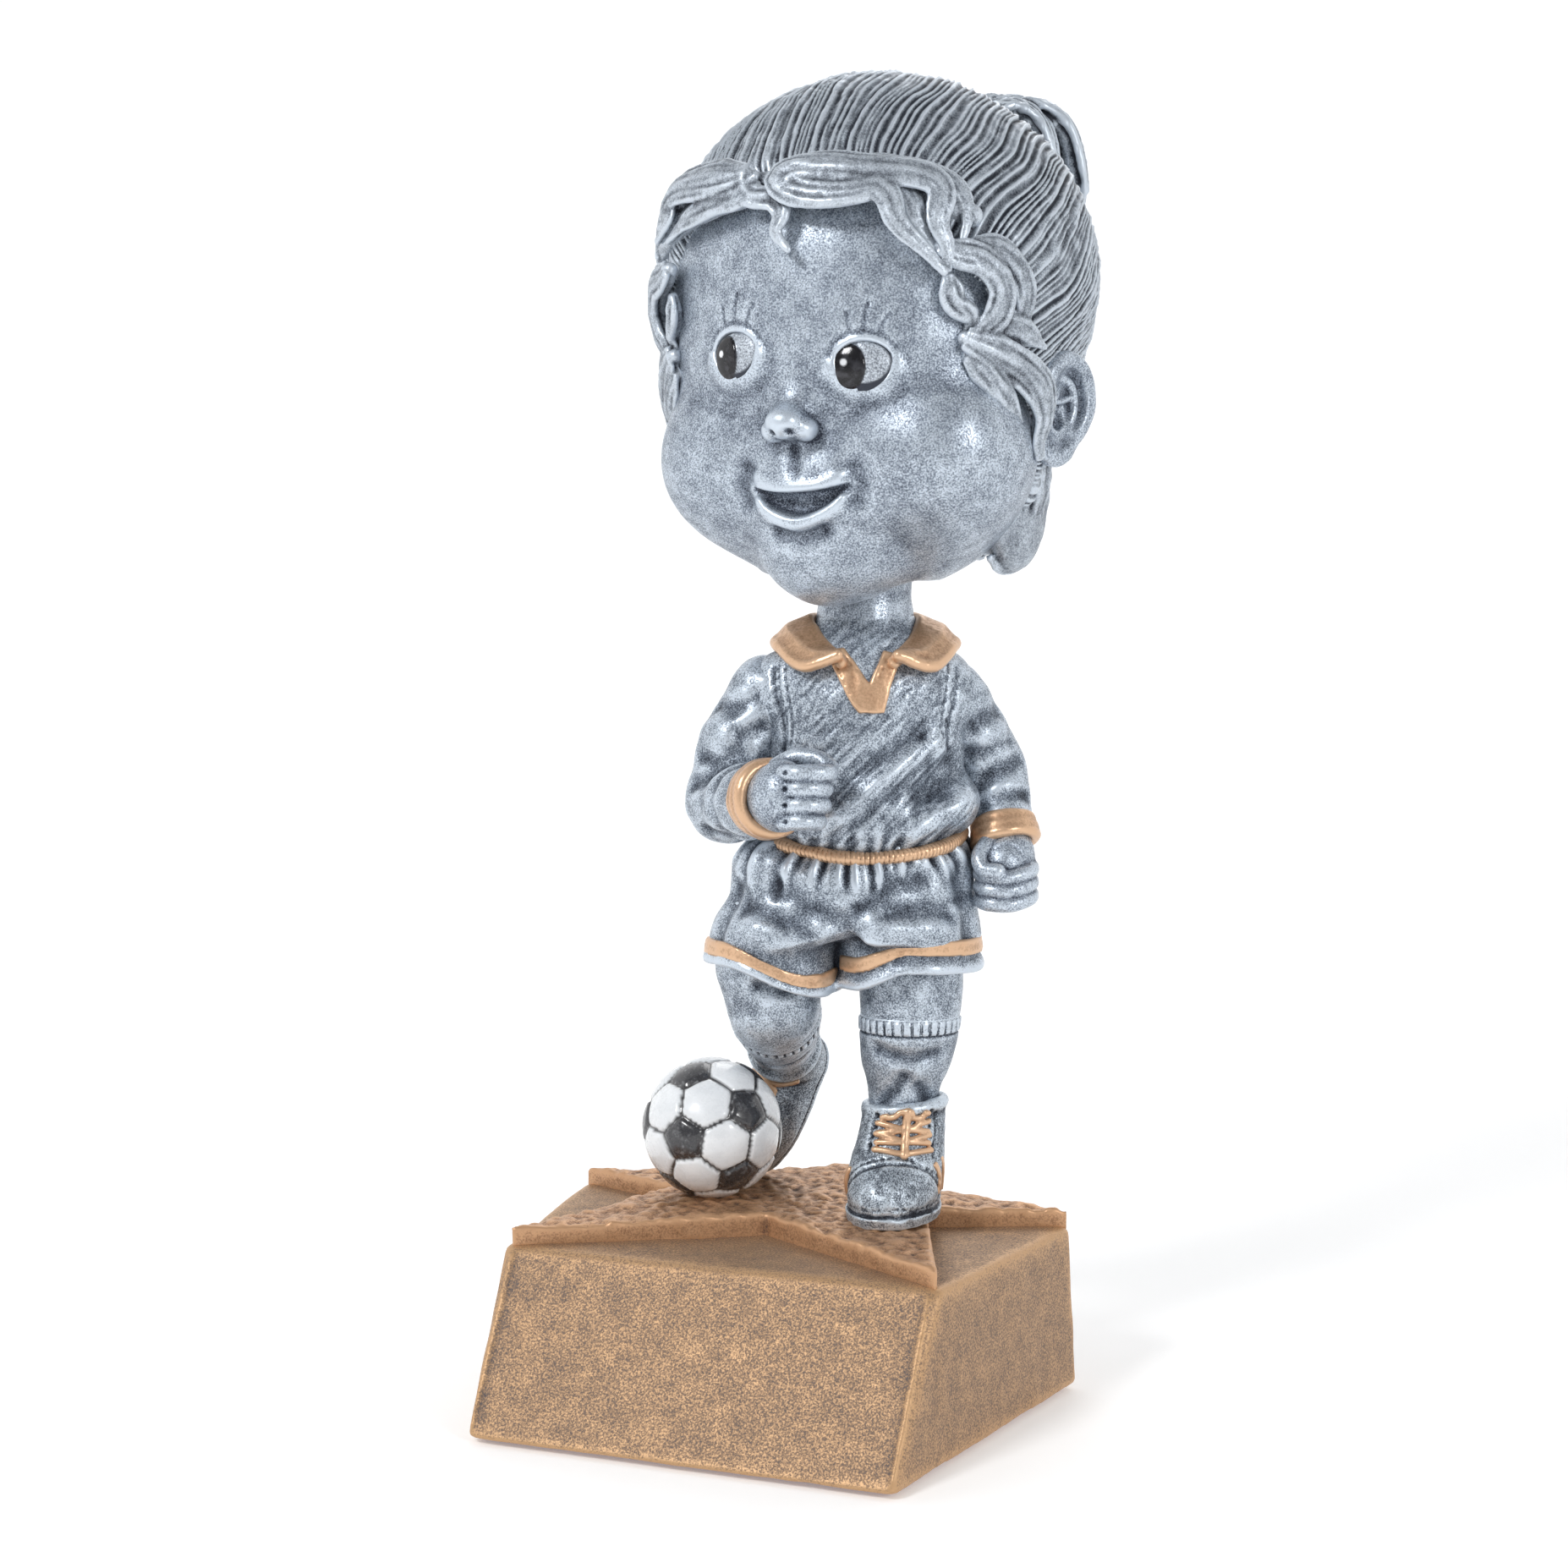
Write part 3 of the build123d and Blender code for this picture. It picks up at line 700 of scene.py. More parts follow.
def ball_piece():
    """A sphere of fine facets with pillowed panels and pressed seams."""
    bpy.ops.mesh.primitive_ico_sphere_add(subdivisions=6, radius=1.0)
    seed = bpy.context.object
    points = np.array([v.co for v in seed.data.vertices])
    triangles = np.array([p.vertices[:] for p in seed.data.polygons])
    bpy.data.objects.remove(seed)
    points = unit(points)
    pentagons, hexagons = ball_panels()
    panels = np.vstack([pentagons, hexagons])
    reach = points @ panels.T
    order = np.argsort(reach, axis=1)
    first, second = order[:, -1], order[:, -2]
    rows = np.arange(len(points))
    gap = (reach[rows, first] - reach[rows, second]) / np.linalg.norm(panels[first] - panels[second], axis=1)
    gap = gap * BALL_RADIUS
    dark = (first < len(pentagons)).astype(float)
    seam = 1 - smooth_step(gap, 0.16, 0.27)
    groove = 0.34 * (1 - smooth_step(gap, 0.0, 0.55))
    pillow = 0.10 * smooth_step(gap, 0.3, 2.2)
    shape = BALL_RADIUS - 0.1 - groove + pillow + 0.03 * noise(points * BALL_RADIUS, 2.5, 7)
    marks = {"dark_panel": dark, "seam": seam}
    piece = add_mesh("match_ball", BASE, BALL_CENTRE + points * shape[:, None], triangles, marks)
    piece.data.materials.append(BALL_PAINT)
    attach(piece, "stand")
    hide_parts("soccer_ball")
    return piece


plinth_piece()
star_piece()
felt_piece()
ball_piece()


# ------------------------------------------------------------------ head
SCALP_CENTRE, SCALP_RADII = np.array([0, 4, 129.5]), np.array([24.4, 24.3, 22.8])
SEAM_Y, SEAM_Z = -18.0, 137.8  # where the seam between face and hair crosses the forehead
SEAM_BACK, SEAM_UP = 0.859, 0.512  # the way that points off the seam into the hair
RECESS_RADIUS, RECESS_TOP = 8.6, 117.0


def scalp(*places):
    """Points on the scalp, each given as (degrees from the front towards the figure's left, z[, lift])."""
    points = []
    for azimuth, z, *lift in places:
        radii = SCALP_RADII + (lift[0] if lift else 0.8)
        level = np.clip((z - SCALP_CENTRE[2]) / radii[2], -1, 1)
        reach = np.sqrt(1 - level**2)
        angle = np.radians(azimuth)
        x = radii[0] * reach * np.sin(angle)
        points.append((x, SCALP_CENTRE[1] - radii[1] * reach * np.cos(angle), z))
    return np.array(points)


def skull(clay, grow):
    """The cranium, the jowls and the cheeks, thickened all round by grow."""
    clay.egg(SCALP_CENTRE, SCALP_RADII + grow)
    clay.egg((0, -1.0, 109.3), np.array([19.6, 15.8, 15.2]) + grow, blend=8)
    clay.egg((0, -2.5, 120), np.array([19.5, 15.5, 10]) + grow, blend=6)
    for side in (-1, 1):
        clay.egg((side * 12.5, -6.3, 109.0), np.array([9.2, 9.5, 8.9]) + grow, blend=4.0)


def open_underneath(clay):
    """The round recess that the neck plug sits in, open below."""
    clay.shape(
        lambda x, y, z: np.maximum(np.hypot(x, y) - RECESS_RADIUS, z - RECESS_TOP),
        (-10, -10, 90), (10, 10, 118.5), blend=0.3, cut=True,
    )


# each eye: the sign of its side, where its arched outline is centred, and how far the iris lies off centre
EYES = {
    "left": {"side": 1, "x": 7.9, "z": 117.8, "look": -1.45},
    "right": {"side": -1, "x": -6.3, "z": 119.5, "look": -1.1},
}
EYE_HALF, EYE_RISE, EYE_DROP = 3.25, 2.9, 1.95
IRIS = (1.85, 2.45)


def seat(clay, eye):
    """Finds the eye's centre on the face and its own axes: across, outwards and up."""
    eye["centre"] = clay.onto([(eye["x"], -17.0, eye["z"])])[0]
    outwards = unit(clay.slope(eye["centre"][None])[0] * (1, 1, 0.3))
    across = unit(np.cross((0, 0, 1.0), outwards))
    eye["axes"] = np.array([across, outwards, np.cross(outwards, across)])


def from_eye(eye, *places):
    """Points given from the eye's centre as (across, up)."""
    across, _, up = eye["axes"]
    return np.array([eye["centre"] + a * across + u * up for a, u in places])


def arch(eye, low, high, grow):
    """Points along an eye's arched outline from angle low to high in degrees, 0 being its left corner."""
    angles = np.radians(np.linspace(low, high, 15))
    tall = np.where(np.sin(angles) > 0, EYE_RISE, EYE_DROP) + grow
    return from_eye(eye, *zip((EYE_HALF + grow) * np.cos(angles), tall * np.sin(angles)))


def head_piece():
    """The face and jaw: cheeks, chin, button nose, open smile, eyelids and engraved lashes."""
    clay = Clay((-25.5, -25, 91), (25.5, 12, 143), 0.26)
    skull(clay, 0.0)
    clay.egg((0, -8.3, 104.5), (9.5, 9.3, 8.0), blend=3)  # muzzle
    clay.egg((0, -8.2, 98.4), (7.2, 6.4, 6.1), blend=3.5)  # chin
    for eye in EYES.values():
        seat(clay, eye)
        clay.egg(eye["centre"] + (0, 0.4, 0.45), (EYE_HALF, 2.2, 2.45), blend=0.35, cut=True,
                 turn=eye["axes"])
        welt(clay, arch(eye, 10, 170, 0.15), 0.26, 0.8, -0.2)
        welt(clay, arch(eye, 195, 345, 0.35), 0.5, 1.6, -0.3)
        crease(clay, arch(eye, 30, 160, 0.75), 0.22, 0.45, 0.06)
        for across, up, lean, length in ((-1.5, 3.9, -0.15, 1.7), (0.1, 4.1, 0.6, 2.7), (1.9, 3.7, 1.0, 1.7)):
            hair = from_eye(eye, (across, up), (across + lean * 0.35, up + length * 0.6),
                            (across + lean, up + length))
            crease(clay, hair, 0.3, 0.1, 0.1)
    # nose: bridge, tip, wings and nostrils
    clay.tube([(0, -15.4, 119), (0, -16.6, 115.2), (0, -19.0, 112.4)], [1.4, 1.3, 1.3], 3.5)
    clay.egg((0, -20.3, 111.7), (2.15, 1.95, 1.75), blend=0.9)
    for side in (-1, 1):
        clay.egg((side * 1.95, -19.1, 111.0), (1.25, 1.6, 1.25), blend=0.5)
        clay.egg((side * 1.15, -21.5, 110.5), (0.6, 0.9, 0.5), blend=0.2, cut=True)
    clay.tube([(0, -18.1, 108.9), (0, -18.4, 106.9)], [0.1, 0.2], 1.5, cut=True)
    # mouth: an open smile between a thin upper lip and a full lower one
    smile = [(-5.2, -16.8, 105.4), (-3.2, -17.8, 104.2), (0.0, -18.2, 103.6), (3.2, -17.8, 104.2),
             (5.6, -16.6, 105.5)]
    line = clay.onto(spline(smile), 0.1)
    share = np.sin(np.linspace(0, np.pi, len(line)))
    clay.tube(line + (0, 0.6, -0.5), 0.25 + 1.45 * share, 0.3, cut=True)
    upper = clay.onto(spline([(x, y, z + 1.05) for x, y, z in smile]))
    clay.tube(upper + (0, 0.34, 0), 0.25 + 0.14 * share, 0.9)
    lower = [(-4.8, -17, 103.6), (-3.3, -17.6, 101.7), (0.1, -17.6, 100.7), (3.3, -17.6, 101.8),
             (5.1, -17, 103.8)]
    line = clay.onto(spline(lower))
    clay.tube(line + (0, 0.3, 0), 0.3 + 0.5 * np.sin(np.linspace(0, np.pi, len(line))), 1.0)
    crease(clay, [(-3.0, -17, 99.4), (0, -17, 98.9), (3.0, -17, 99.5)], 0.3, 2.0, 0.1)
    for side in (-1, 1):
        crease(clay, [(side * 6.4, -16.5, 107.0), (side * 7.0, -16.2, 105.4), (side * 6.6, -16, 103.8)],
               0.1, 2.4, 0.1)
    # the face ends behind the hairline, under the hair
    clay.shape(
        lambda x, y, z: -((y - SEAM_Y - 2.5) * SEAM_BACK + (z - SEAM_Z) * SEAM_UP),
        blend=0.6, cut=True,
    )
    open_underneath(clay)

    def skin(points, normals):
        return 0.03 * noise(points, 4.0, 11) + 0.012 * noise(points, 0.9, 12)

    return sculpted("face", clay, HEAD, "bobble_head", ["head"], SILVER, skin)


def eye_material():
    """A silver eyeball with a glossy black iris, a painted highlight dot on it, and painted shadow round its
    edge.
    """
    shader = Shader("eye_gloss", Metallic=0.3)
    grain = shader.noise(0.2, detail=3.0, roughness=0.65)
    white = shader.mix(shader.ramp(grain, 0.38, 0.62), (0.16, 0.18, 0.215), (0.60, 0.655, 0.72))
    cloud = shader.noise(0.8, detail=2.0)
    black = shader.mix(shader.ramp(cloud, 0.45, 0.75), (0.012, 0.012, 0.014), (0.05, 0.05, 0.058))
    iris = shader.mark("iris")
    # a white dot on the iris: a painted highlight standing in for a reflection of the lamps
    painted = shader.mix(shader.mark("glint"), black, (0.85, 0.87, 0.9))
    # the eyeball darkens towards its edge: painted shadow where the lids meet it
    eyeball_with_painted_lid_shadow = shader.mix(shader.mark("rim"), white, (0.025, 0.03, 0.045))
    shader.wire("Base Color", shader.mix(iris, eyeball_with_painted_lid_shadow, painted))
    shader.wire("Roughness", shader.ramp(iris, 0.0, 1.0, 0.42, 0.10))
    shader.wire("Normal", shader.bump(grain, 0.02, 0.3))
    return shader.material


EYE_GLOSS = eye_material()


def eye_piece(name, eye):
    """One eyeball, with its iris raised like a drop of lacquer."""
    across, outwards, up = eye["axes"]
    centre = eye["centre"] - outwards * 1.82
    clay = Clay(centre - 5.2, centre + 5.2, 0.13)
    clay.egg(centre, (EYE_HALF + 1.3, 2.35, EYE_RISE + 1.0), turn=eye["axes"])

    def off_iris(points):
        offset = points - centre
        return np.hypot((offset @ across - eye["look"]) / IRIS[0], (offset @ up) / IRIS[1])

    def lacquer(points, normals):
        reach = off_iris(points)
        return 0.14 * (1 - smooth_step(reach, 0.85, 1.0)) - 0.08 * np.exp(-(((reach - 1.06) / 0.05) ** 2))

    def marks(points, normals):
        offset = points - centre
        # where the painted highlight dot sits on the iris
        glint = np.hypot(offset @ across - eye["look"] + 0.55, offset @ up - 0.45)
        front = (offset @ outwards) > 0
        return {
            "iris": (1 - smooth_step(off_iris(points), 0.96, 1.03)) * front,
            "glint": 1 - smooth_step(glint, 0.28, 0.44),
            # rim: a dark band round the eyeball's edge, painted shadow under the lids
            "rim": smooth_step(np.hypot(offset @ across / EYE_HALF, (offset @ up - 0.45) / 2.45), 0.84,
                               0.95) * front,
        }

    return sculpted(f"{name}_eyeball", clay, HEAD, "bobble_head", [f"{name}_eye"], EYE_GLOSS,
                    lacquer, marks)


def ear_piece(name, side):
    """An ear: rolled rim, inner fold, deep hollow, tragus and lobe."""
    clay = clay_at(side, (17.5, -4.5, 105.5), (27, 9.5, 122), 0.14)
    clay.egg(mirrored(side, (21.0, 2.6, 114.2))[0], (2.6, 3.6, 4.9))
    clay.egg(mirrored(side, (21.4, 2.4, 110.0))[0], (1.6, 2.0, 1.6), blend=1.0)
    rim = spline(mirrored(side, (21.4, 0.6, 114.4), (22.3, -0.9, 115.6), (22.9, -0.7, 117.8),
                          (23.5, 1.2, 119.4), (24.2, 3.8, 119.3), (24.7, 5.9, 117.4), (24.7, 6.4, 114.4),
                          (24.0, 5.5, 111.8), (23.0, 3.9, 109.9)))
    for place in rim[::2]:
        root = mirrored(side, (21.2, 2.2, 0.5 * place[2] + 57.2))[0]
        clay.tube([place + (root - place) * 0.12, root], 0.75, 0.7)
    clay.egg(mirrored(side, (24.4, 2.9, 114.9))[0], (1.5, 2.5, 3.6), blend=0.4, cut=True)
    clay.tube(rim, tapered(len(rim), 0.5, 0.95, 0.85), 0.35)
    lobe = spline(mirrored(side, (23.2, 4.2, 110.2), (22.4, 2.6, 108.8), (21.6, 1.0, 109.3),
                           (21.3, 0.2, 110.8)))
    clay.tube(lobe, tapered(len(lobe), 0.9, 1.25, 0.8), 0.5)
    clay.egg(mirrored(side, (22.9, 1.7, 113.4))[0], (1.2, 1.4, 1.7), blend=0.5, cut=True)
    fold = spline(mirrored(side, (22.9, 2.3, 117.6), (23.5, 4.2, 116.6), (23.6, 4.6, 114.0),
                           (23.0, 3.8, 111.8), (22.4, 2.6, 111.0)))
    clay.tube(fold, 0.55, 0.3)
    branch = spline(mirrored(side, (22.4, 0.9, 114.9), (22.8, 2.4, 114.9), (23.3, 4.2, 115.4)))
    clay.tube(branch, 0.38, 0.3)
    clay.egg(mirrored(side, (22.0, -0.3, 112.6))[0], (1.0, 0.9, 1.2), blend=0.5)

    def skin(points, normals):
        return 0.035 * noise(points, 1.4, 13)

    return sculpted(f"{name}_ear_shell", clay, HEAD, "bobble_head", [f"{name}_ear"],
                    SILVER, skin)


# ------------------------------------------------------------------ hair
PONYTAIL_ROOT = np.array([0, 25.0, 143.0])
COMB_CENTRE = (0, 4, 128)
COMB_AXIS = (PONYTAIL_ROOT - COMB_CENTRE) / np.linalg.norm(PONYTAIL_ROOT - COMB_CENTRE)


def comb_angle(points):
    """The angle round the axis that all the combed hair runs to, in radians, and the distance from it."""
    offset = points - COMB_CENTRE
    across = np.array([1.0, 0, 0])
    down = np.cross(COMB_AXIS, across)
    return np.arctan2(offset @ across, offset @ down), np.hypot(offset @ across, offset @ down)


def grooves(phase, sharpness):
    """Ridges with narrow valleys between, 1 on a ridge and 0 in a valley."""
    return np.abs(np.cos(phase / 2)) ** sharpness


def ridges(phase):
    """Thin crests with wide valleys between, 1 on a crest and 0 in a valley."""
    return 1 - np.abs(np.sin(phase / 2)) ** 0.8


def combed(points, normals):
    """How far combed hair stands out: thin strands that come and go over broad locks."""
    angle, reach = comb_angle(points)
    angle = angle + 0.06 * noise(points, 9.0, 21) + 0.006 * noise(points, 3.5, 22)
    bunch = np.sin(17 * angle) + 0.7 * np.sin(41 * angle + 1)
    share = np.clip(0.5 + 0.35 * np.sin(29 * angle + 2) + 0.8 * noise(points, 3.4, 23), 0, 1)
    wide = grooves(angle * 30 + 2 * bunch, 0.5)
    strand = ridges(angle * 104 + 2.6 * bunch + noise(points, 6.0, 24)) * smooth_step(reach, 7, 13)
    fine = ridges(angle * 176 - 3.2 * bunch + 1.5 * noise(points, 5.0, 25)) * smooth_step(reach, 13, 19)
    height = 0.24 * (wide - 0.75) + 0.4 * (strand - 0.35) * (0.1 + share)
    height = height + 0.36 * (fine - 0.35) * (1.25 - share)
    return height + 0.2 * noise(points, 6.5, 26) + 0.1 * noise(points, 1.2, 30)


def hair_piece():
    """The hair drawn back over the head to the ponytail, with combed grooves."""
    clay = Clay((-27, -24, 91), (27, 31, 155), 0.21)
    skull(clay, 0.75)
    clay.shape(
        lambda x, y, z: ((y - SEAM_Y) * SEAM_BACK + (z - SEAM_Z) * SEAM_UP),
        blend=1.6, cut=True,
    )
    clay.shape(lambda x, y, z: z - 95.4, high=(27, 31, 97), blend=0.6, cut=True)
    clay.egg(PONYTAIL_ROOT - (0, 2.0, 1.0), (6.8, 4.2, 6.0), blend=4.0)
    open_underneath(clay)
    return sculpted("hair_combed_back", clay, HEAD, "bobble_head", ["hair"], HAIR_SILVER,
                    combed)


def fringe_piece():
    """The curly fringe: separate waved locks laid along the hairline over the forehead."""
    clay = Clay((-27, -27, 122), (27, 6, 147), 0.2)

    def on_head(places, width, strands, **more):
        settled = [(a * (0.82 if a > 0 else 0.95), z - 0.45 * max(z - 134.5, 0)) for a, z in places]
        lock(clay, scalp(*settled), width * 0.88, strands, **more)

    roll = scalp(*[(a, 137.6 - 0.0018 * a * a, 0.6) for a in range(-56, 49, 8)])
    clay.tube(spline(roll), 1.3, 0.6)
    on_head([(-10, 140.2), (-25, 140.1), (-38, 139.9), (-44, 137.6), (-40, 134.8), (-47, 132.6)], 5.6, 5,
            lift=1.9)
    on_head([(-6, 137.3), (-17, 136.2), (-24, 135.4), (-32, 134.2), (-42, 132.4)], 4.4, 4, lift=1.3)
    on_head([(-34, 139.4), (-50, 138.2), (-58, 135.4), (-56, 131.8)], 4.2, 4, lift=1.0)
    on_head([(-8, 140.4), (-12, 138.0), (-8, 135.8), (-1, 135.0), (2, 133.3), (0, 131.4), (4, 129.5)], 2.9,
            2, lift=1.3, start=0.7, end=0.25)
    on_head([(14, 138.8), (6, 139.6), (1.5, 138.0), (6, 135.6), (14, 134.5), (22, 134.6), (29, 135.4),
             (32.5, 134.0), (34.5, 132.0), (38, 130.4), (43, 128.8), (48, 126.9)], 4.2, 3, lift=2.1,
            start=0.6, end=0.2)
    on_head([(4, 138.2), (9, 137.4), (15, 137.0), (21, 137.2), (27, 137.6)], 2.6, 2, lift=1.0)
    on_head([(4, 140.3), (16, 140.0), (27, 139.2), (37, 138.7), (45.5, 137.4), (48, 134.7), (46.5, 131.9),
             (49, 129.4), (49, 127.4)], 4.4, 4, lift=1.8, start=0.8, end=0.25)
    on_head([(24, 138.4), (33, 137.0), (38.5, 135.0), (40.5, 132.5), (44, 130.5), (48, 128.4)], 3.0, 3,
            lift=0.9)
    on_head([(20, 141.4), (34, 141.0), (46, 139.6), (54, 136.6), (56, 133.0), (54, 130)], 3.4, 3, lift=0.8)

    return sculpted("fringe_curls", clay, HEAD, "bobble_head", ["fringe"], HAIR_SILVER,
                    strands_finish)


def strands_finish(points, normals):
    """Slight unevenness along hand-modelled locks."""
    return 0.05 * noise(points, 1.1, 27) + 0.03 * noise(points, 0.5, 28)


def temple_piece(name, side):
    """The curls in front of an ear: a hooked lock, a loop, and a broad lock that ends over the ear's root."""
    clay = clay_at(side, (13, -20, 107), (28, 6, 136), 0.18)
    lock(clay, mirrored(side, *scalp((39, 129.6), (42, 128.8), (49, 128.2), (54.5, 126.0), (54.5, 123.3),
                                     (51, 121.4), (48.5, 119.4), (47.5, 117.6))), 3.6, 3, lift=1.3,
         start=0.7)
    lock(clay, mirrored(side, *scalp((41, 127.0), (43, 124.4), (48, 122.8), (47, 120.2))), 2.6, 2, lift=0.6)
    lock(clay, mirrored(side, *scalp((47, 130.2), (56, 129.4), (62, 126.6), (63, 123.2), (59, 120.4))), 3.2,
         3, lift=0.6)
    lock(clay, mirrored(side, (17.6, -12.6, 120.6), (19.6, -9.8, 119.4), (21.4, -7.0, 118.0),
                        (22.5, -4.6, 116.0), (22.6, -3.2, 113.2), (21.9, -3.0, 110.6), (21.7, -2.0, 108.6)),
         4.2, 4, lift=0.8, start=0.6, end=0.3)
    lock(clay, mirrored(side, (18.0, -12.2, 118.6), (19.6, -10.2, 116.4), (20.8, -7.8, 113.8),
                        (21.4, -5.4, 111.0)), 3.2, 3, lift=0.1)
    lock(clay, mirrored(side, (19.6, -10.6, 122.8), (21.8, -7.4, 121.8), (23.4, -4.0, 120.2)), 3.4, 3,
         lift=0.2)
    return sculpted(f"{name}_temple_locks", clay, HEAD, "bobble_head", [f"{name}_temple_curls"],
                    HAIR_SILVER, strands_finish)


def nape_piece(name, side):
    """The loose curls behind and below an ear, hooked forward at the tip."""
    clay = clay_at(side, (9, -3, 92.5), (24, 15, 112), 0.18)
    clay.egg(mirrored(side, (15.6, 6.6, 102.6))[0], (3.4, 4.8, 6.4))
    lock(clay, mirrored(side, (20.0, 4.6, 109.4), (19.0, 5.6, 106.2), (17.4, 7.4, 103), (16.6, 8.6, 100),
                        (15.6, 7.2, 97.4), (14.4, 5.0, 96.9), (13.9, 3.2, 97.8)), 4.6, 4, lift=0.4,
         centre=(0, 4, 106), start=0.5)
    lock(clay, mirrored(side, (18.4, 8.4, 107), (17.2, 9.8, 103.4), (16.4, 10.4, 100.4), (14.8, 9.6, 98),
                        (13.2, 7.4, 97.2)), 4.2, 4, lift=0.3, centre=(0, 4, 106))
    lock(clay, mirrored(side, (18.8, 3.6, 106), (17.4, 4.6, 102.6), (16.4, 4.8, 99.6), (15.8, 3.6, 98)),
         3.4, 3, centre=(0, 4, 106))
    return sculpted(f"{name}_nape_locks", clay, HEAD, "bobble_head", [f"{name}_nape_curls"],
                    HAIR_SILVER, strands_finish)


def ponytail_piece():
    """The ponytail: a twisted tie at the crown, then heavy ringlets that spill up over it and hang behind."""
    clay = Clay((-21, 19, 110), (21, 46, 157), 0.26)
    clay.tube(spline([(0, 21.5, 142.5), (0, 27, 144.5), (0, 30.5, 141), (0, 31.5, 133), (0, 31, 124)]),
              4.2, 1.0)
    clay.egg((0, 27.0, 143.5), (12.4, 4.0, 8.4), blend=1.0)
    clay.egg((0, 30.0, 131), (10.5, 3.6, 10.0), blend=1.0)
    tie = ring(0, 0, 5.6, 5.6, 0.0, 60)
    forward = np.array([0, 0.93, 0.37])
    up = np.array([0, -0.37, 0.93])
    for offset in (-0.7, 0.7):
        turns = PONYTAIL_ROOT + forward * offset + tie[:, :1] * np.array([1.0, 0, 0]) + tie[:, 1:2] * up
        clay.tube(turns, 0.85, 0.2)
    for k in range(7):
        x = 2.5 * (k - 3)
        sway = 0.9 if k % 2 else -0.9
        tip = 119.5 - 3.0 * (k % 3)
        line = [(x * 0.3, 26.5, 148.0), (x * 0.7, 30.5, 151.0), (x, 34.4, 147.5),
                (x * 1.1 + sway, 36.0, 141.5), (x * 1.15 - sway, 35.6, 135.5),
                (x * 1.1 + sway, 34.6, 129.0), (x - sway, 33.8, 123.5), (x * 0.8, 33.4, tip)]
        lock(clay, line, 4.6, 4, lift=0.5 + 0.8 * (k % 2), centre=(0, 22, 136), start=0.6, end=0.2)
    for side in (-1, 1):
        for reach, back, width, lift in ((1.0, 0, 5.2, 0.6), (0.72, 0, 4.6, 1.4), (0.45, 0, 4.4, 1.8),
                                         (0.9, -3.4, 5.4, 0)):
            line = [(3.0, 24, 147.5), (8.5, 26.5, 152.4), (12.6, 28.5, 150.4), (13.9, 29.5, 145.4),
                    (12.8, 31, 141.0), (14.4, 31, 136.0), (13.2, 32, 130.6), (13.4, 31.5, 125.0),
                    (9.8, 31.5, 119.5)]
            line = [(side * x * reach, y + back, z) for x, y, z in line]
            lock(clay, line, width, 4, lift=lift, centre=(0, 22, 136), start=0.7, end=0.2)

    def falling(points, normals):
        angle = np.arctan2(points[:, 0], points[:, 1] - 24)
        return 0.26 * (ridges(60 * angle + 3 * noise(points, 5.0, 31)) - 0.35) + strands_finish(points,
                                                                                                normals)

    return sculpted("ponytail_ringlets", clay, HEAD, "bobble_head", ["ponytail"],
                    HAIR_SILVER, falling)


head_piece()
hair_piece()
fringe_piece()
for eye_name, eye_facts in EYES.items():
    eye_piece(eye_name, eye_facts)
    ear_piece(eye_name, eye_facts["side"])
    temple_piece(eye_name, eye_facts["side"])
    nape_piece(eye_name, eye_facts["side"])
ponytail_piece()


# ------------------------------------------------------------------ legs, socks and boots
def bumpy_skin(points, normals):
    """The slight unevenness of hand-modelled, cast and brushed surfaces."""
    return 0.06 * noise(points, 2.2, 41) + 0.03 * noise(points, 0.9, 42)


def leather(points, normals):
    """Scuffed leather."""
    return bumpy_skin(points, normals) + 0.07 * noise(points, 1.3, 43) + 0.05 * noise(points, 0.7, 44)


def silver(name, clay, node, detail=bumpy_skin, material=CLOTH_SILVER):
    """A silver piece of the figure's body that stands for one CAD node."""
    return sculpted(name, clay, FIGURE, "stand", [node], material, detail)


def gilded(name, clay, node=None, detail=None):
    """A gold-painted piece of the figure's body."""
    return sculpted(name, clay, FIGURE, "stand", [node] if node else [], GOLD_PAINT, detail)


def knitted(points, centre, axis, low, high, ribs, depth):
    """Ribs across a sock's turned top, between two distances along its axis."""
    offset = points - centre
    along = offset @ axis
    side = unit(np.cross(axis, (0, 1, 0.2)))
    angle = np.arctan2(offset @ np.cross(axis, side), offset @ side)
    inside = smooth_step(along, low, low + 0.25) * (1 - smooth_step(along, high - 0.25, high))
    edge = np.exp(-(((along - low) / 0.16) ** 2)) + np.exp(-(((along - high) / 0.16) ** 2))
    valley = smooth_step(-np.cos(angle * ribs), 0.5, 0.8)
    return inside * (0.05 - depth * valley) - 0.2 * edge


BOOT_TURN = 0.16  # the left toe points this much to the figure's right


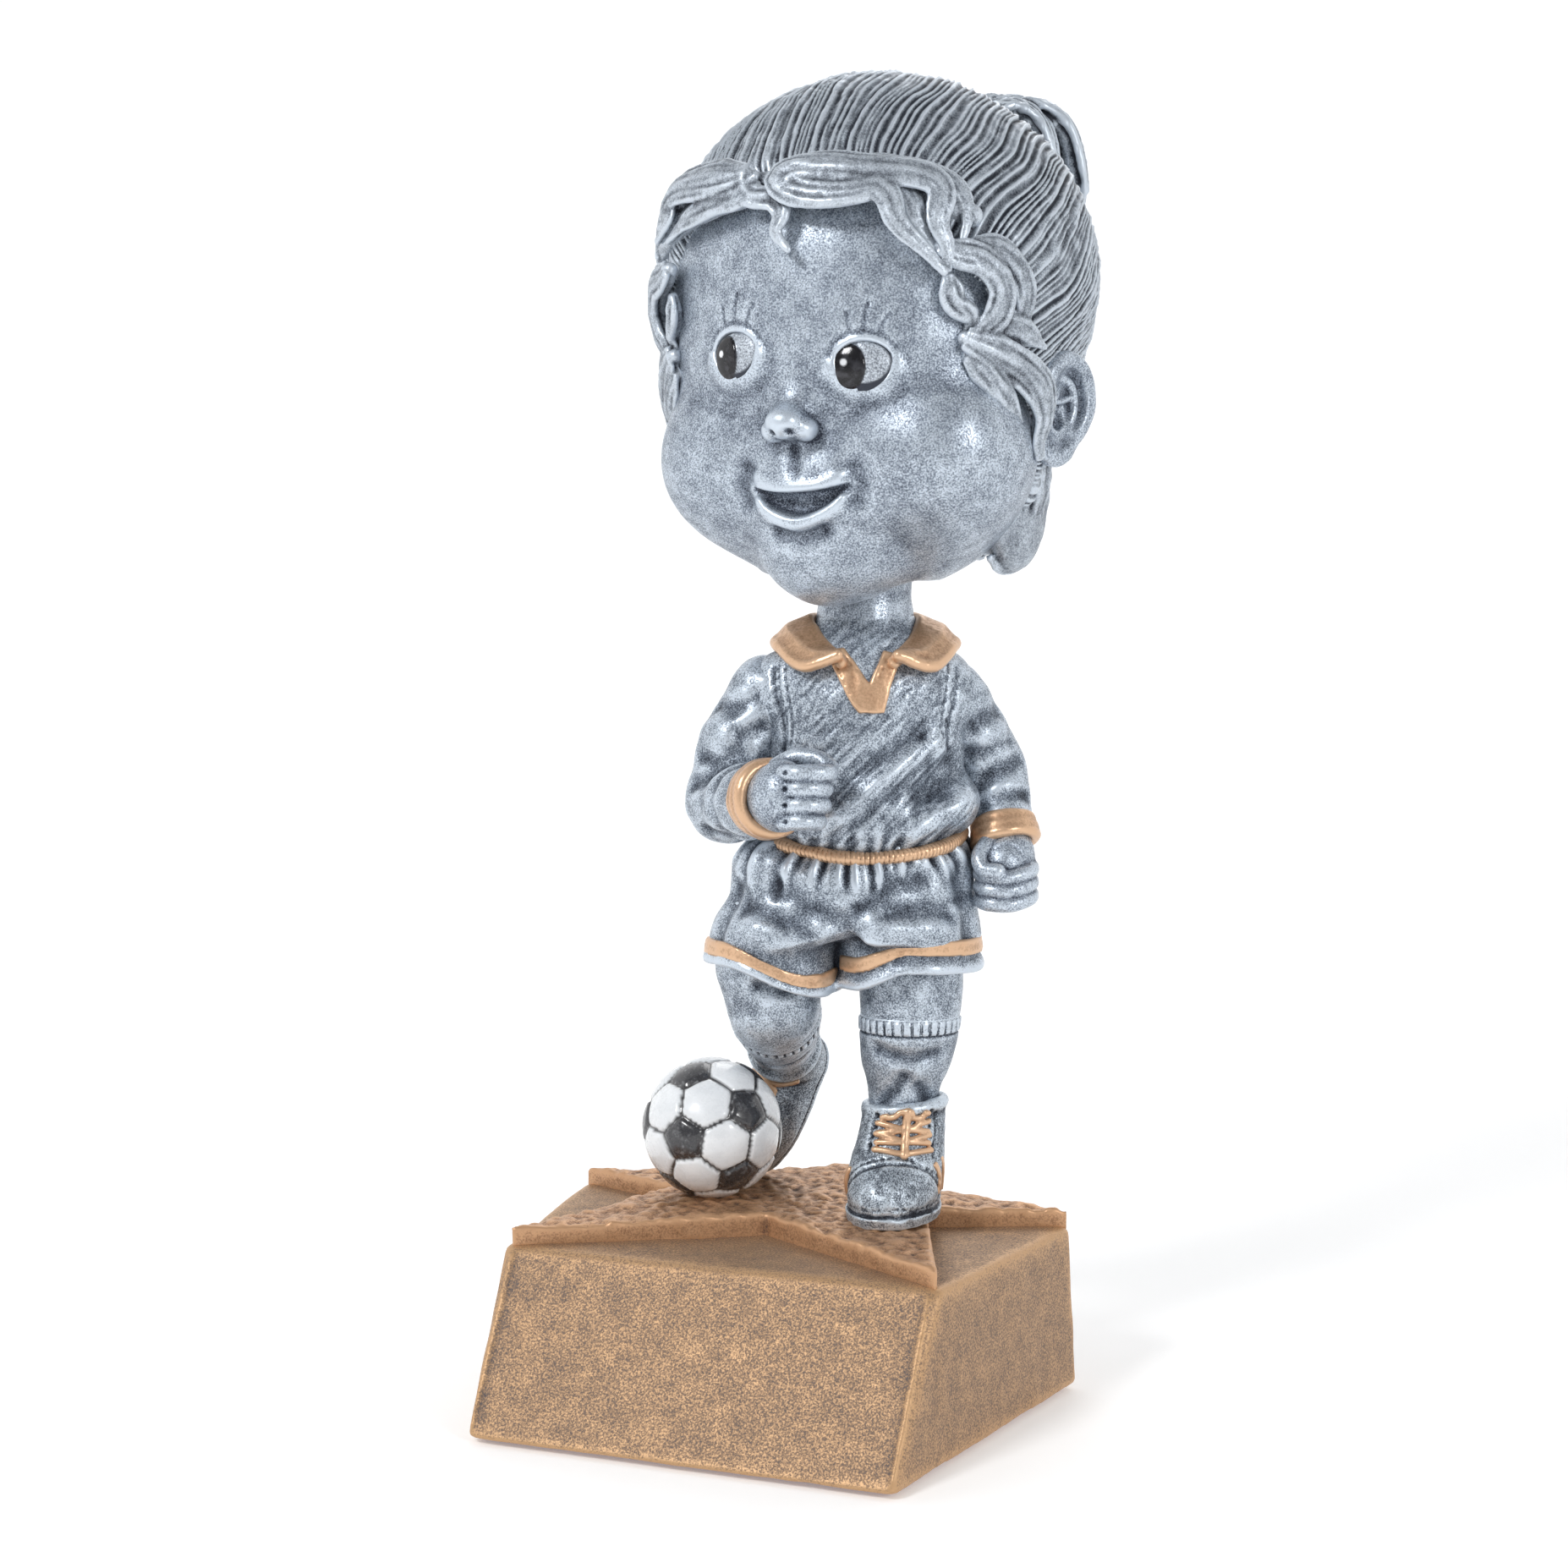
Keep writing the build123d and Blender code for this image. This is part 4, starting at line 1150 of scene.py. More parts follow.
def left_leg_pieces():
    """The standing leg: knee, sock with its ribbed top, and the boot."""
    knee = Clay((-3, -9, 41.5), (13.5, 8.5, 58), 0.28)
    knee.shape(stack([(41.8, 5.1, -0.4, 5.3, 5.3), (44.5, 5.3, -0.5, 5.75, 5.75), (47.5, 5.4, -0.4, 6.0, 6.0),
                      (51, 5.2, 0, 6.3, 6.3), (57, 5.1, 0, 6.5, 6.5)]))
    silver("left_knee", knee, "left_leg")

    sock = Clay((-3, -9, 30.5), (13.5, 8.5, 46.5), 0.22)
    sock.shape(stack([(31.2, 4.6, 0, 3.9, 3.9), (35.5, 4.6, 0, 4.1, 4.1), (39.2, 4.95, -0.2, 5.25, 5.2),
                      (43, 5.2, -0.4, 5.85, 5.8), (45.0, 5.3, -0.5, 6.0, 6.0)]))
    crease(sock, [(1.2, -4, 34.8), (3.2, -4.6, 36.2), (4.4, -4.4, 38.2)], 0.3, 1.4)
    crease(sock, [(7.6, -3.6, 35.0), (6.4, -4.4, 36.8)], 0.3, 1.4)
    crease(sock, [(2.0, -4, 41.4), (5.0, -5.4, 40.4), (8.0, -4.6, 41)], 0.25, 1.6)

    def ribs(points, normals):
        return bumpy_skin(points, normals) + knitted(points, (5.2, -0.4, 0), np.array([0, 0, 1.0]), 42.9,
                                                     44.75, 34, 0.3)

    silver("left_sock_knit", sock, "left_sock", ribs)

    boot = Clay((-3.5, -12.5, 20.8), (12, 8, 36), 0.2)
    sections = [(21.7, 3.8, -2.5, 4.9, 7.5), (24, 3.8, -2.7, 5.4, 7.8), (26, 3.9, -2.5, 5.5, 7.3),
                (27.8, 4.1, -2.0, 5.4, 6.3), (29.3, 4.3, -1.4, 5.25, 5.4), (31.5, 4.6, -0.7, 4.95, 4.9),
                (34.4, 4.8, -0.2, 4.75, 4.6)]
    upper, sole = stack(sections), stack([(21.5, 3.8, -2.5, 5.3, 7.9), (22.9, 3.8, -2.6, 5.6, 8.1)])
    boot.shape(lambda x, y, z: upper(x - BOOT_TURN * y, y, z))
    boot.shape(lambda x, y, z: sole(x - BOOT_TURN * y, y, z), blend=0.2)
    boot.tube(ring(4.8, -0.2, 4.35, 4.25, lambda a: 34.2 + 0.5 * np.cos(a)), 0.75, 0.5)
    boot.shape(lambda x, y, z: np.maximum(np.hypot(x - 4.8, y + 0.1) - 3.7, 33.6 - z), blend=0.4, cut=True)
    toe_cap = [(-2.2, -3.6, 24.0), (-1.9, -5.6, 26.2), (-0.3, -7.2, 28.2), (2.6, -7.8, 28.9),
               (5.4, -7.0, 28.2), (7.8, -5.2, 26.4), (8.9, -3.2, 24.0)]
    crease(boot, toe_cap, 0.24, 0.3)
    stitches(boot, [(x, y + 0.8, z + 0.3) for x, y, z in toe_cap], 0.5, 0.4, 0.2)
    rim = ring(3.8, -2.6, 5.5, 8.0, 23.15)
    boot.tube(boot.onto(rim), 0.2, 0.2, cut=True)
    stitches(boot, ring(3.8, -2.6, 5.5, 8.0, 23.9, 40), 0.75, 0.5, 0.16)
    crease(boot, [(0.9, -5.0, 29.0), (0.6, -4.4, 31.4), (1.0, -4.2, 33.6)], 0.18, 0.3)
    crease(boot, [(8.0, -5.0, 29.0), (8.4, -3.8, 31.4), (8.2, -3.2, 33.8)], 0.18, 0.3)
    crease(boot, [(9.4, 0.2, 24.0), (9.6, 0.6, 28.0), (9.2, 0.8, 33.0)], 0.16, 0.3)
    for level in (30.0, 31.2, 32.4, 33.6):
        for eyelet_x in (0.9, 8.0):
            hole = boot.onto([(eyelet_x, -4.6, level)])[0]
            boot.egg(hole, 0.3, blend=0.15, cut=True)
    silver("left_boot", boot, "left_shoe", leather, material=BOOT_SILVER)

    trim = Clay((-3.5, -12.5, 22), (12, 8, 36), 0.16)
    rungs = [((1.3, 29.6), (7.6, 29.7)), ((1.2, 30.7), (7.8, 31.5)), ((7.8, 30.7), (1.2, 31.6)),
             ((1.2, 31.9), (7.9, 32.8)), ((7.9, 32.0), (1.2, 32.9)), ((1.6, 33.6), (4.5, 34.2)),
             ((7.7, 33.5), (4.7, 34.2))]
    for (ax, az), (bx, bz) in rungs:
        middle = ((ax + bx) / 2, -7.0, (az + bz) / 2 + 0.15)
        trim.tube(boot.onto(spline([(ax, -5.5, az), middle, (bx, -5.0, bz)]), 0.2), 0.36, 0.15)
    trim.tube(boot.onto(spline([(4.5, -7.4, 29.8), (4.7, -6.4, 32), (4.9, -5.4, 34.2)]), 0.2), 0.5, 0.1)
    for offset in (0.0, 2.4):
        stripe = [(8.9, -5.6 + offset, 28.4), (9.8, -4.6 + offset, 26.4), (9.6, -3.9 + offset, 24.4)]
        for shift in (-0.3, 0.0, 0.3):
            trim.tube(boot.onto(spline([(x, y + shift, z) for x, y, z in stripe]), -0.02), 0.24, 0.1)
    stripe = [(-1.4, -4.4, 27.2), (-1.7, -3.6, 25.6), (-1.5, -2.9, 24.4)]
    trim.tube(boot.onto(spline(stripe), -0.02), 0.42, 0.1)
    gilded("left_boot_laces", trim)


KNEE, CALF, ANKLE = np.array([-10.6, 0.5, 45.8]), np.array([-10.4, 2.6, 44.6]), np.array([-9.4, 13.2, 38.8])
HEEL, TOE = np.array([-7.9, 17.6, 36.4]), np.array([-13.4, 18.0, 25.6])
SHIN_AXIS = unit(ANKLE - CALF)


def right_leg_pieces():
    """The leg swung back: thigh and knee, sock, and the boot standing on its toe."""
    thigh = Clay((-19, -8, 38), (-2.5, 9, 58), 0.28)
    thigh.tube([(-9.8, 0.5, 56), (-11.2, 0.4, 50.5), KNEE, CALF + SHIN_AXIS * 1.5], [6.3, 6.2, 5.5, 5.0], 0.5)
    crease(thigh, [(-7.0, -4.6, 49), (-9.6, -5.6, 48.2), (-12.4, -5.0, 48.8)], 0.3, 1.6)
    silver("right_knee", thigh, "right_leg")

    sock = Clay((-19, -6, 31), (-1, 20, 51), 0.24)
    sock.tube([CALF, CALF + SHIN_AXIS * 4, ANKLE, HEEL - (0, 1.0, 0)], [5.45, 5.0, 3.9, 3.2], 0.3)
    crease(sock, [(-7.4, 6, 39.4), (-10, 7, 37.8), (-12.4, 7.6, 38.4)], 0.3, 1.2)
    crease(sock, [(-5.6, 10, 40.4), (-7.6, 10, 37.4), (-10.4, 10.6, 36.2)], 0.3, 1.2)

    def ribs(points, normals):
        return bumpy_skin(points, normals) + knitted(points, CALF, SHIN_AXIS, 0.2, 1.9, 32, 0.3)

    silver("right_sock_knit", sock, "right_sock", ribs)

    along = unit(TOE - HEEL)
    sole = unit(np.array([0.62, 0.74, -0.27]) - along * (np.array([0.62, 0.74, -0.27]) @ along))
    across = np.cross(along, sole)
    axes = np.array([across, sole, along])
    boot = Clay((-20, 8, 20.8), (-1.5, 25, 43.5), 0.22)
    middle = (HEEL + TOE) / 2
    boot.tube([ANKLE + SHIN_AXIS * 0.6, HEEL, HEEL + along * 4, TOE], [4.3, 3.9, 4.2, 3.5], 1.0)
    boot.egg(middle + along * 2.5, (4.6, 3.7, 6.6), blend=2.0, turn=axes)

    def under_sole(x, y, z):
        level = (x - middle[0]) * sole[0] + (y - middle[1]) * sole[1] + (z - middle[2]) * sole[2]
        return 3.15 - level

    boot.shape(under_sole, blend=0.6, cut=True)
    boot.shape(lambda x, y, z: z - 21.75, high=(0, 25, 23.4), blend=0.4, cut=True)

    def boot_marks(points, normals):
        level = (points - middle) @ sole
        welt_edge = np.exp(-(((level - 1.75) / 0.16) ** 2))
        proud = smooth_step(level, 1.8, 2.0) * 0.25
        return bumpy_skin(points, normals) - 0.2 * welt_edge + proud

    collar = unit(np.cross(SHIN_AXIS, (0, 0, 1.0)))
    other = np.cross(SHIN_AXIS, collar)
    angles = np.linspace(0, 2 * np.pi, 60)[:, None]
    boot.tube(ANKLE + SHIN_AXIS * 0.4 + 3.9 * (collar * np.cos(angles) + other * np.sin(angles)), 0.7, 0.5)
    silver("right_boot", boot, "right_shoe", boot_marks, material=BOOT_SILVER)

    trim = Clay((-20, 6, 24), (-1.5, 25, 43.5), 0.18)
    instep = middle - sole * 3.4
    for k in range(4):
        centre = instep - along * (1.2 + 1.5 * k)
        ends = [centre - across * 2.2 + along * 0.4, centre - sole * 0.4, centre + across * 2.2 - along * 0.4]
        trim.tube(boot.onto(spline(ends), 0.15), 0.36, 0.1)
        ends = [centre - across * 2.2 - along * 0.6, centre - sole * 0.4, centre + across * 2.2 + along * 0.6]
        trim.tube(boot.onto(spline(ends), 0.15), 0.3, 0.1)
    gilded("right_boot_laces", trim)


# ------------------------------------------------------------------ shorts and waistband
def hem_level(x, y, side):
    """The height of a leg's hem: the left leg's rises to the outside, the right leg's dips to the inside."""
    if side > 0:
        return 48.6 + 2.3 * smooth_step(x, -2.0, 5.0) - 0.5 * smooth_step(x, 8, 14) + 0.05 * y
    return 51.0 - 3.6 * smooth_step(x, -17.5, -6.0) + 0.5 * smooth_step(x, -5, -3) - 0.04 * y


def shorts_pieces():
    """The shorts: gathered at the waist, folded over the thigh, a flared lip and gold band at each hem."""
    clay = Clay((-20, -12.5, 46.5), (15, 12, 68), 0.25)
    hips = hitched(stack([(54.2, -1.6, 0, 14.9, 9.8), (57, -1.5, 0, 14.5, 9.8), (60, -1.3, 0, 14.0, 9.6),
                          (62.0, -0.9, 0, 13.2, 9.3), (63.4, -0.3, 0, 11.7, 8.8), (64.4, 0, 0, 10.5, 8.1),
                          (66, 0, 0, 10.1, 7.9)]))
    left = stack([(46.8, 4.9, 0, 8.5, 8.4), (52, 4.9, 0, 8.4, 8.4), (58, 4.0, 0, 8.4, 8.7)])
    right = stack([(46.8, -10.6, 0.2, 7.6, 8.3), (52, -10.6, 0.2, 7.5, 8.2), (56, -9.4, 0.1, 7.8, 8.6),
                   (59, -7.5, 0, 7.4, 8.6)])

    def leg(body, side, grow=0.0):
        def distance(x, y, z):
            lip = 0.55 * np.exp(-((z - hem_level(x, y, side) - 0.5) ** 2) / 0.8)
            return np.maximum(body(x, y, z) - lip - grow, hem_level(x, y, side) - z)
        return distance

    clay.shape(hips)
    clay.shape(leg(left, 1), blend=1.2)
    clay.shape(leg(right, -1), blend=1.2)
    for centre_x, centre_y, radius in ((5.2, 0, 7.2), (-10.8, 0.3, 6.7)):
        def opening(x, y, z):
            level = np.hypot(x - centre_x, y - centre_y) - radius
            return np.maximum(-soft_min(-level, -(z - 52.5), 1.0), 40 - z)
        clay.shape(opening, blend=0.4, cut=True)
    for points, radius in (
        ([(-2.6, -9.5, 50.5), (-2.9, -9.8, 53), (-2.2, -9.6, 56.5)], 0.7),
        ([(-3.4, -9.5, 53.6), (-7.0, -9.8, 55.2), (-11.0, -8.8, 57.4), (-14, -6.0, 58)], 0.8),
        ([(-4.2, -9.6, 56.6), (-7.4, -9.6, 58.6), (-10.4, -8.6, 60.6)], 0.6),
        ([(-1.6, -9.6, 55.4), (1.6, -9.8, 57.2), (6.0, -9.4, 57.8), (9.6, -8.0, 57.2)], 0.7),
        ([(-0.6, -9.6, 58.0), (2.6, -9.6, 60.2), (6.2, -9.0, 61.2)], 0.5),
        ([(11.6, -5.8, 61), (12.6, -5.4, 57.6), (12.4, -5.4, 54.6)], 0.6),
        ([(-15.0, -3.0, 59.6), (-15.6, -3.4, 56.4), (-16.6, -3.4, 53.6)], 0.6),
        ([(-2, 9.6, 51), (-2.4, 9.8, 55), (-1.6, 9.6, 60)], 0.7),
        ([(-3.4, 9.6, 54.6), (-8, 9.4, 57), (-12, 7.4, 58)], 0.7),
        ([(0.4, 9.6, 55), (5, 9.4, 57.6), (10, 7.4, 58.6)], 0.7),
    ):
        crease(clay, points, radius, 2.2, 0.25)
    welt(clay, [(-5.0, -9.6, 52.4), (-8.4, -9.4, 53.6), (-12.6, -8.0, 55.4)], 0.9, 2.4, -0.5)
    welt(clay, [(0.6, -9.6, 56.6), (4.0, -9.6, 55.6), (8.6, -8.6, 55.6)], 0.9, 2.4, -0.5)

    def gathers(points, normals):
        x, y, z = points.T
        angle = np.arctan2(y, x + 0.5)
        wander = 0.5 * noise(points, 5.0, 51)
        fade = smooth_step(z + 3.0 * noise(points, 3.4, 50), 60.0, 64.0)
        pleats = np.cos(angle * 23 + 6 * wander) * 0.26 + np.cos(angle * 41 + 8 * wander) * 0.14
        drape = 0.32 * noise(points * (1, 1, 0.45) + (0, 0, 3), 4.5, 52) * (1 - fade)
        return fade * pleats + drape + bumpy_skin(points, normals)

    silver("running_shorts", clay, "shorts", gathers)

    stripes = Clay((-20, -12.5, 46.5), (15, 12, 60), 0.22)
    for body, side, low, width in ((left, 1, 2.1, 1.6), (right, -1, 0.95, 1.65)):
        def band(x, y, z):
            middle = hem_level(x, y, side) + low + width / 2
            near_skin = np.abs(body(x, y, z) - 0.15) - 0.3
            beyond_crotch = np.where(side * (x + 2.9) > 0, -1, 1)
            return np.maximum(np.maximum(near_skin, np.abs(z - middle) - width / 2), beyond_crotch)
        stripes.shape(band)

    def ripple(points, normals):
        return 0.32 * noise(points * (1, 1, 0.45) + (0, 0, 3), 4.5, 52) + 0.04 * noise(points, 1.0, 53)

    gilded("shorts_hem_bands", stripes, None, ripple)

    band = Clay((-14, -11.5, 61.5), (14, 11.5, 68.5), 0.2)
    band.tube(ring(-0.05, 0, 11.2, 8.75, lambda a: 63.9 + 2.1 * np.cos(a) ** 4 + 0.15 * np.sin(5 * a),
                   160), 0.78)

    def ribs(points, normals):
        angle = np.arctan2(points[:, 1] * 1.25, points[:, 0])
        twist = 0.3 * noise(points, 3.0, 54)
        return 0.2 * (grooves(angle * 132 + 5 * twist, 0.7) - 0.7) + 0.2 * noise(points, 2.4, 55)

    gilded("elastic_waistband", band, "waistband", ribs)


# ------------------------------------------------------------------ jersey, collar and placket
JERSEY = [(64.2, 0, 0, 10.3, 8.2), (65.6, 0, 0, 11.3, 8.9), (67, 0.2, 0, 12.2, 9.7), (69, 0.2, 0, 12.2, 9.8),
          (73, 0, 0, 11.5, 9.3), (78, 0, 0, 11.6, 9.0), (82.5, 0, 0, 11.8, 8.7), (85.6, 0, 0, 11.2, 7.9),
          (87.8, 0, 0, 8.8, 6.9), (89.6, 0, 0, 6.4, 5.9), (91.2, 0, 0, 5.5, 5.4)]


def hitch(x, z):
    """How far the waist is pulled up at the sides."""
    at_side = np.minimum((x / 11) ** 4, 1.2)
    return 2.1 * at_side * smooth_step(z, 58, 63) * (1 - smooth_step(z, 67, 75))


def hitched(body):
    """A body whose waist is pulled up at the sides."""
    return lambda x, y, z: body(x, y, z - hitch(x, z))


def jersey_pieces():
    """The jersey, bloused over the waistband, with armhole seams and drawn folds."""
    clay = Clay((-15, -12.5, 63.6), (15, 12, 91.8), 0.24)
    clay.shape(hitched(stack(JERSEY)))
    clay.egg((-10.4, 0, 82.4), (3.4, 4.4, 4.0), blend=2.5)
    clay.egg((9.4, 0.2, 82.0), (3.2, 4.4, 4.0), blend=2.5)
    clay.egg((10.2, -1.8, 69.4), (2.9, 4.2, 3.0), blend=2.0)
    valleys = (
        [(6.4, -8.6, 77.6), (2.4, -9.2, 75.2), (-1.4, -9.4, 72.2), (-3.4, -9.2, 70.2)],
        [(7.6, -8.4, 74.4), (3.6, -9.2, 71.9), (0.4, -9.4, 69.4), (-2.8, -9.4, 67.0)],
        [(9.4, -7.6, 71.4), (6.0, -9.0, 69.0), (3.0, -9.4, 67.0)],
        [(10.8, -5.8, 74.6), (9.4, -7.4, 72.4), (7.6, -8.4, 70.8)],
        [(-10.8, -5.6, 75.0), (-9.0, -7.4, 73.6), (-8.2, -8.2, 70.8)],
    )
    for points in valleys:
        crease(clay, points, 0.36, 3.2, 0.25)
    for points in (
        [(8.4, -8.0, 76.4), (4.0, -9.4, 73.6), (0.0, -9.6, 70.8), (-3.0, -9.4, 68.4)],
        [(10.6, -6.0, 70.8), (8.0, -8.4, 68.6), (5.4, -9.2, 67.2)],
    ):
        welt(clay, points, 0.45, 3.0, -0.3)
    for side in (-1, 1):
        armhole = [(side * 10.8, -4.4, 85.4), (side * 11.0, -6.4, 82.0), (side * 10.9, -7.0, 78.4),
                   (side * 11.2, -5.6, 75.4)]
        crease(clay, armhole, 0.22, 0.4)
        behind = [(x, -y, z) for x, y, z in armhole]
        crease(clay, behind, 0.22, 0.4)
        for row, inset in product((armhole, behind), (0.7, 1.7)):
            stitches(clay, [(x - side * inset, y, z) for x, y, z in row], 0.9, 0.5, 0.2)
        crease(clay, [(side * 10.2, -2.0, 87.2), (side * 7.8, -3.0, 88.4)], 0.18, 0.3)
        crease(clay, [(side * 4.0, 9, 75), (side * 7.5, 8, 72.0), (side * 9.8, 5.8, 70.8)], 0.7, 2.2, 0.25)
        crease(clay, [(side * 1.5, 9, 71.5), (side * 5.0, 9, 68.6), (side * 8.0, 8, 67.4)], 0.7, 2.2, 0.25)
    clay.shape(lambda x, y, z: np.maximum(np.hypot(x, y) - 5.1, 84 - z), blend=0.2, cut=True)

    def cloth(points, normals):
        x, y, z = points.T
        slant = np.stack([x - z, (x + z) * 0.14, y], axis=1)
        brushed = 0.09 * noise(slant, 0.6, 56) * smooth_step(-y, 2, 7)
        angle = np.arctan2(y, x)
        gather = 0.12 * np.cos(angle * 26 + 4 * noise(points, 4.0, 57)) * (1 - smooth_step(z, 65.4, 68.2))
        return brushed + gather + 0.16 * noise(points, 3.6, 58) + bumpy_skin(points, normals)

    silver("football_jersey", clay, "jersey", cloth)
    return clay


# the left half of the collar from the middle of the back to its front end: its top fold and its outer edge
COLLAR_FOLD = [(0, 6.3, 91.0), (4.4, 4.4, 91.0), (6.3, 0, 90.7), (5.9, -3.6, 89.4), (4.6, -6.4, 87.6),
               (3.0, -8.6, 86.2)]
COLLAR_EDGE = [(0, 9.9, 88.0), (7.2, 7.4, 88.0), (10.2, 0.6, 88.2), (9.7, -4.0, 87.3), (7.2, -8.2, 85.4),
               (3.4, -9.7, 86.6)]
PLACKET_BARS = [
    [(-4.9, 87.3), (-2.6, 87.5), (0.3, 83.3), (0.4, 80.2), (-1.0, 80.1), (-1.7, 80.9)],
    [(1.8, 87.2), (3.9, 86.6), (2.6, 83.0), (1.9, 80.1), (0.0, 80.1), (0.1, 83.3)],
]


def collar_pieces(jersey):
    """The folded collar with its two pointed wings, and the V placket below it."""
    clay = Clay((-13, -12.5, 81.5), (13, 12.5, 93), 0.2)
    fold, edge = spline(COLLAR_FOLD, 0.1), spline(COLLAR_EDGE, 0.1)
    count = 90
    for side in (-1, 1):
        sheet = []
        for k, share in enumerate(np.linspace(0, 1, count)):
            top, foot = (line[int(share * (len(line) - 1))] for line in (fold, edge))
            middle = (top + foot) / 2 + unit((top + foot) / 2 * (1, 1, 0)) * 0.55 + (0, 0, 0.3)
            rib = [top, middle, foot]
            sheet += [point * (side, 1, 1) for point in (rib if k % 2 == 0 else rib[::-1])]
        clay.tube(sheet, 0.6, 0.3)
        clay.tube([point * (side, 1, 1) for point in edge], 0.66, 0.3)
        clay.tube([point * (side, 1, 1) + (0, 0, -0.5) for point in fold], 0.62, 0.5)

    def pressed(points, normals):
        return 0.10 * noise(points, 2.6, 59) + 0.04 * noise(points, 0.8, 60)

    gilded("jersey_collar", clay, "collar", pressed)

    strip = Clay((-6, -12.5, 77.5), (6.5, -3, 88), 0.16)
    for bar in PLACKET_BARS:
        strip.shape(lambda x, y, z: outline_distance(x, z, bar))
    axes = np.meshgrid(*[strip.low[k] + strip.step * np.arange(strip.field.shape[k]) for k in range(3)],
                       indexing="ij")
    skin = jersey.value(np.stack(axes, axis=-1))
    strip.field = -soft_min(-strip.field, -(np.abs(skin - 0.1) - 0.55), 0.3).astype(np.float32)
    for points in ([(-4.0, -8.0, 86.2), (-1.0, -9.0, 81.2)], [(-2.6, -8.0, 86.6), (0.0, -8.8, 83.2)],
                   [(3.4, -8.0, 85.6), (1.6, -9.0, 80.6)], [(2.2, -8.0, 86.2), (0.6, -9.0, 82.6)]):
        stitches(strip, points, 0.6, 0.4, 0.12)

    def wrinkled(points, normals):
        return 0.07 * noise(points * (1, 1, 0.4), 0.8, 61)

    gilded("jersey_placket", strip, "placket", wrinkled)


# ------------------------------------------------------------------ arms
def cuff_ring(centre, axis, radius):
    """Points round a circle that faces along an axis."""
    axis = unit(np.array(axis, float))
    first = unit(np.cross(axis, (0.1, 0.2, 1.0)))
    second = np.cross(axis, first)
    angles = np.linspace(0, 2 * np.pi, 64)[:, None]
    return np.array(centre) + radius * (first * np.cos(angles) + second * np.sin(angles))


def sleeve_folds(points, normals):
    """Soft rumpled cloth."""
    return 0.30 * noise(points, 3.8, 62) + 0.16 * noise(points, 1.9, 63) + bumpy_skin(points, normals)


def sleeve_piece(name, sleeve, joints, breadths, folds):
    """A sleeve bent at the elbow; joints are the armhole, a place on the way, the elbow and the wrist."""
    armhole, middle, elbow, wrist = (np.array(joint, float) for joint in joints)
    axis = unit(wrist - elbow)
    above, below = breadths
    sleeve.tube([armhole, middle, elbow], above, 0)
    sleeve.tube([elbow, (elbow + wrist) / 2, wrist - axis * 0.3], below, 1.2)
    for points, radius, blend in folds:
        crease(sleeve, points, radius, blend, 0.2)
    silver(f"{name}_sleeve_cloth", sleeve, f"{name}_sleeve", sleeve_folds)
    return wrist, axis


def cuff_piece(name, cuff, wrist, axis, rolls, thickness, seed):
    """A gold cuff: rolls of ribbing, each (distance along the arm, radius)."""
    for along, radius in rolls:
        cuff.tube(cuff_ring(wrist + axis * along, axis, radius), thickness, 0.5)
    gilded(f"{name}_cuff_band", cuff, f"{name}_cuff", lambda points, normals: 0.12 * noise(points, 2.0, seed))


def right_arm_pieces():
    """The bent arm whose fist is raised in front of the chest."""
    folds = [
        ([(-14.4, -4.4, 75.8), (-16.6, -4.4, 74.6), (-19.4, -2.4, 74.6)], 0.55, 1.6),
        ([(-13.4, -6.0, 74.2), (-16.0, -5.2, 72.8), (-19.6, -2.4, 71.8)], 0.45, 1.6),
        ([(-12.4, -8.4, 66.6), (-15.0, -6.8, 66.2), (-18.0, -3.6, 66.6)], 0.5, 1.6),
        ([(-14.0, -8.6, 73.8), (-15.8, -6.8, 70.4), (-14.6, -7.6, 67.0)], 0.4, 1.5),
        ([(-12.2, -4.2, 81.8), (-15.0, -3.8, 80.6), (-17.2, -1.2, 80.6)], 0.45, 1.8),
        ([(-12.0, -4.0, 78.4), (-14.4, -4.4, 77.6)], 0.5, 1.6),
    ]
    joints = [(-11.8, 0, 82.3), (-14.4, 0, 77), (-15.9, -0.2, 69.6), (-11.6, -10.6, 70.6)]
    sleeve = Clay((-22.5, -14, 63), (-6, 6, 88.5), 0.25)
    wrist, axis = sleeve_piece("right", sleeve, joints, ([4.1, 4.5, 4.6], [4.6, 4.7, 4.1]), folds)
    cuff = Clay((-18, -17, 63.5), (-4, -6, 77.5), 0.18)
    cuff_piece("right", cuff, wrist, axis, ((0.0, 3.7), (1.1, 3.85), (2.2, 3.8)), 0.78, 64)

    hand = Clay((-15, -20.5, 65), (-1.5, -8, 77), 0.17)
    hand.tube([wrist, wrist + axis * 3], [2.9, 3.0], 0)
    hand.egg((-9.6, -14.6, 71.2), (3.3, 3.3, 4.0), blend=1.5)
    for k, length in enumerate((0.9, 0.4, 0.2, -0.3)):
        z = 73.9 - 1.78 * k
        finger = spline([(-9.4, -16.6, z - 0.1), (-7.8, -17.7, z), (-6.2 + length, -17.4, z),
                         (-5.3 + length, -15.9, z - 0.1), (-6.4 + length, -14.2, z)])
        hand.tube(finger, 0.98, 0.24)
        knuckle = hand.onto([(-9.1, -17.6, z)])[0]
        hand.egg(knuckle, (0.32, 0.5, 0.32), blend=0.25, cut=True)
    hand.tube(spline([(-10.4, -12.6, 74.2), (-8.0, -13.2, 75.4), (-5.6, -14.4, 75.2), (-4.4, -15.2, 74.4)]),
              1.05, 0.4)
    silver("right_fist", hand, "right_hand", material=SILVER)


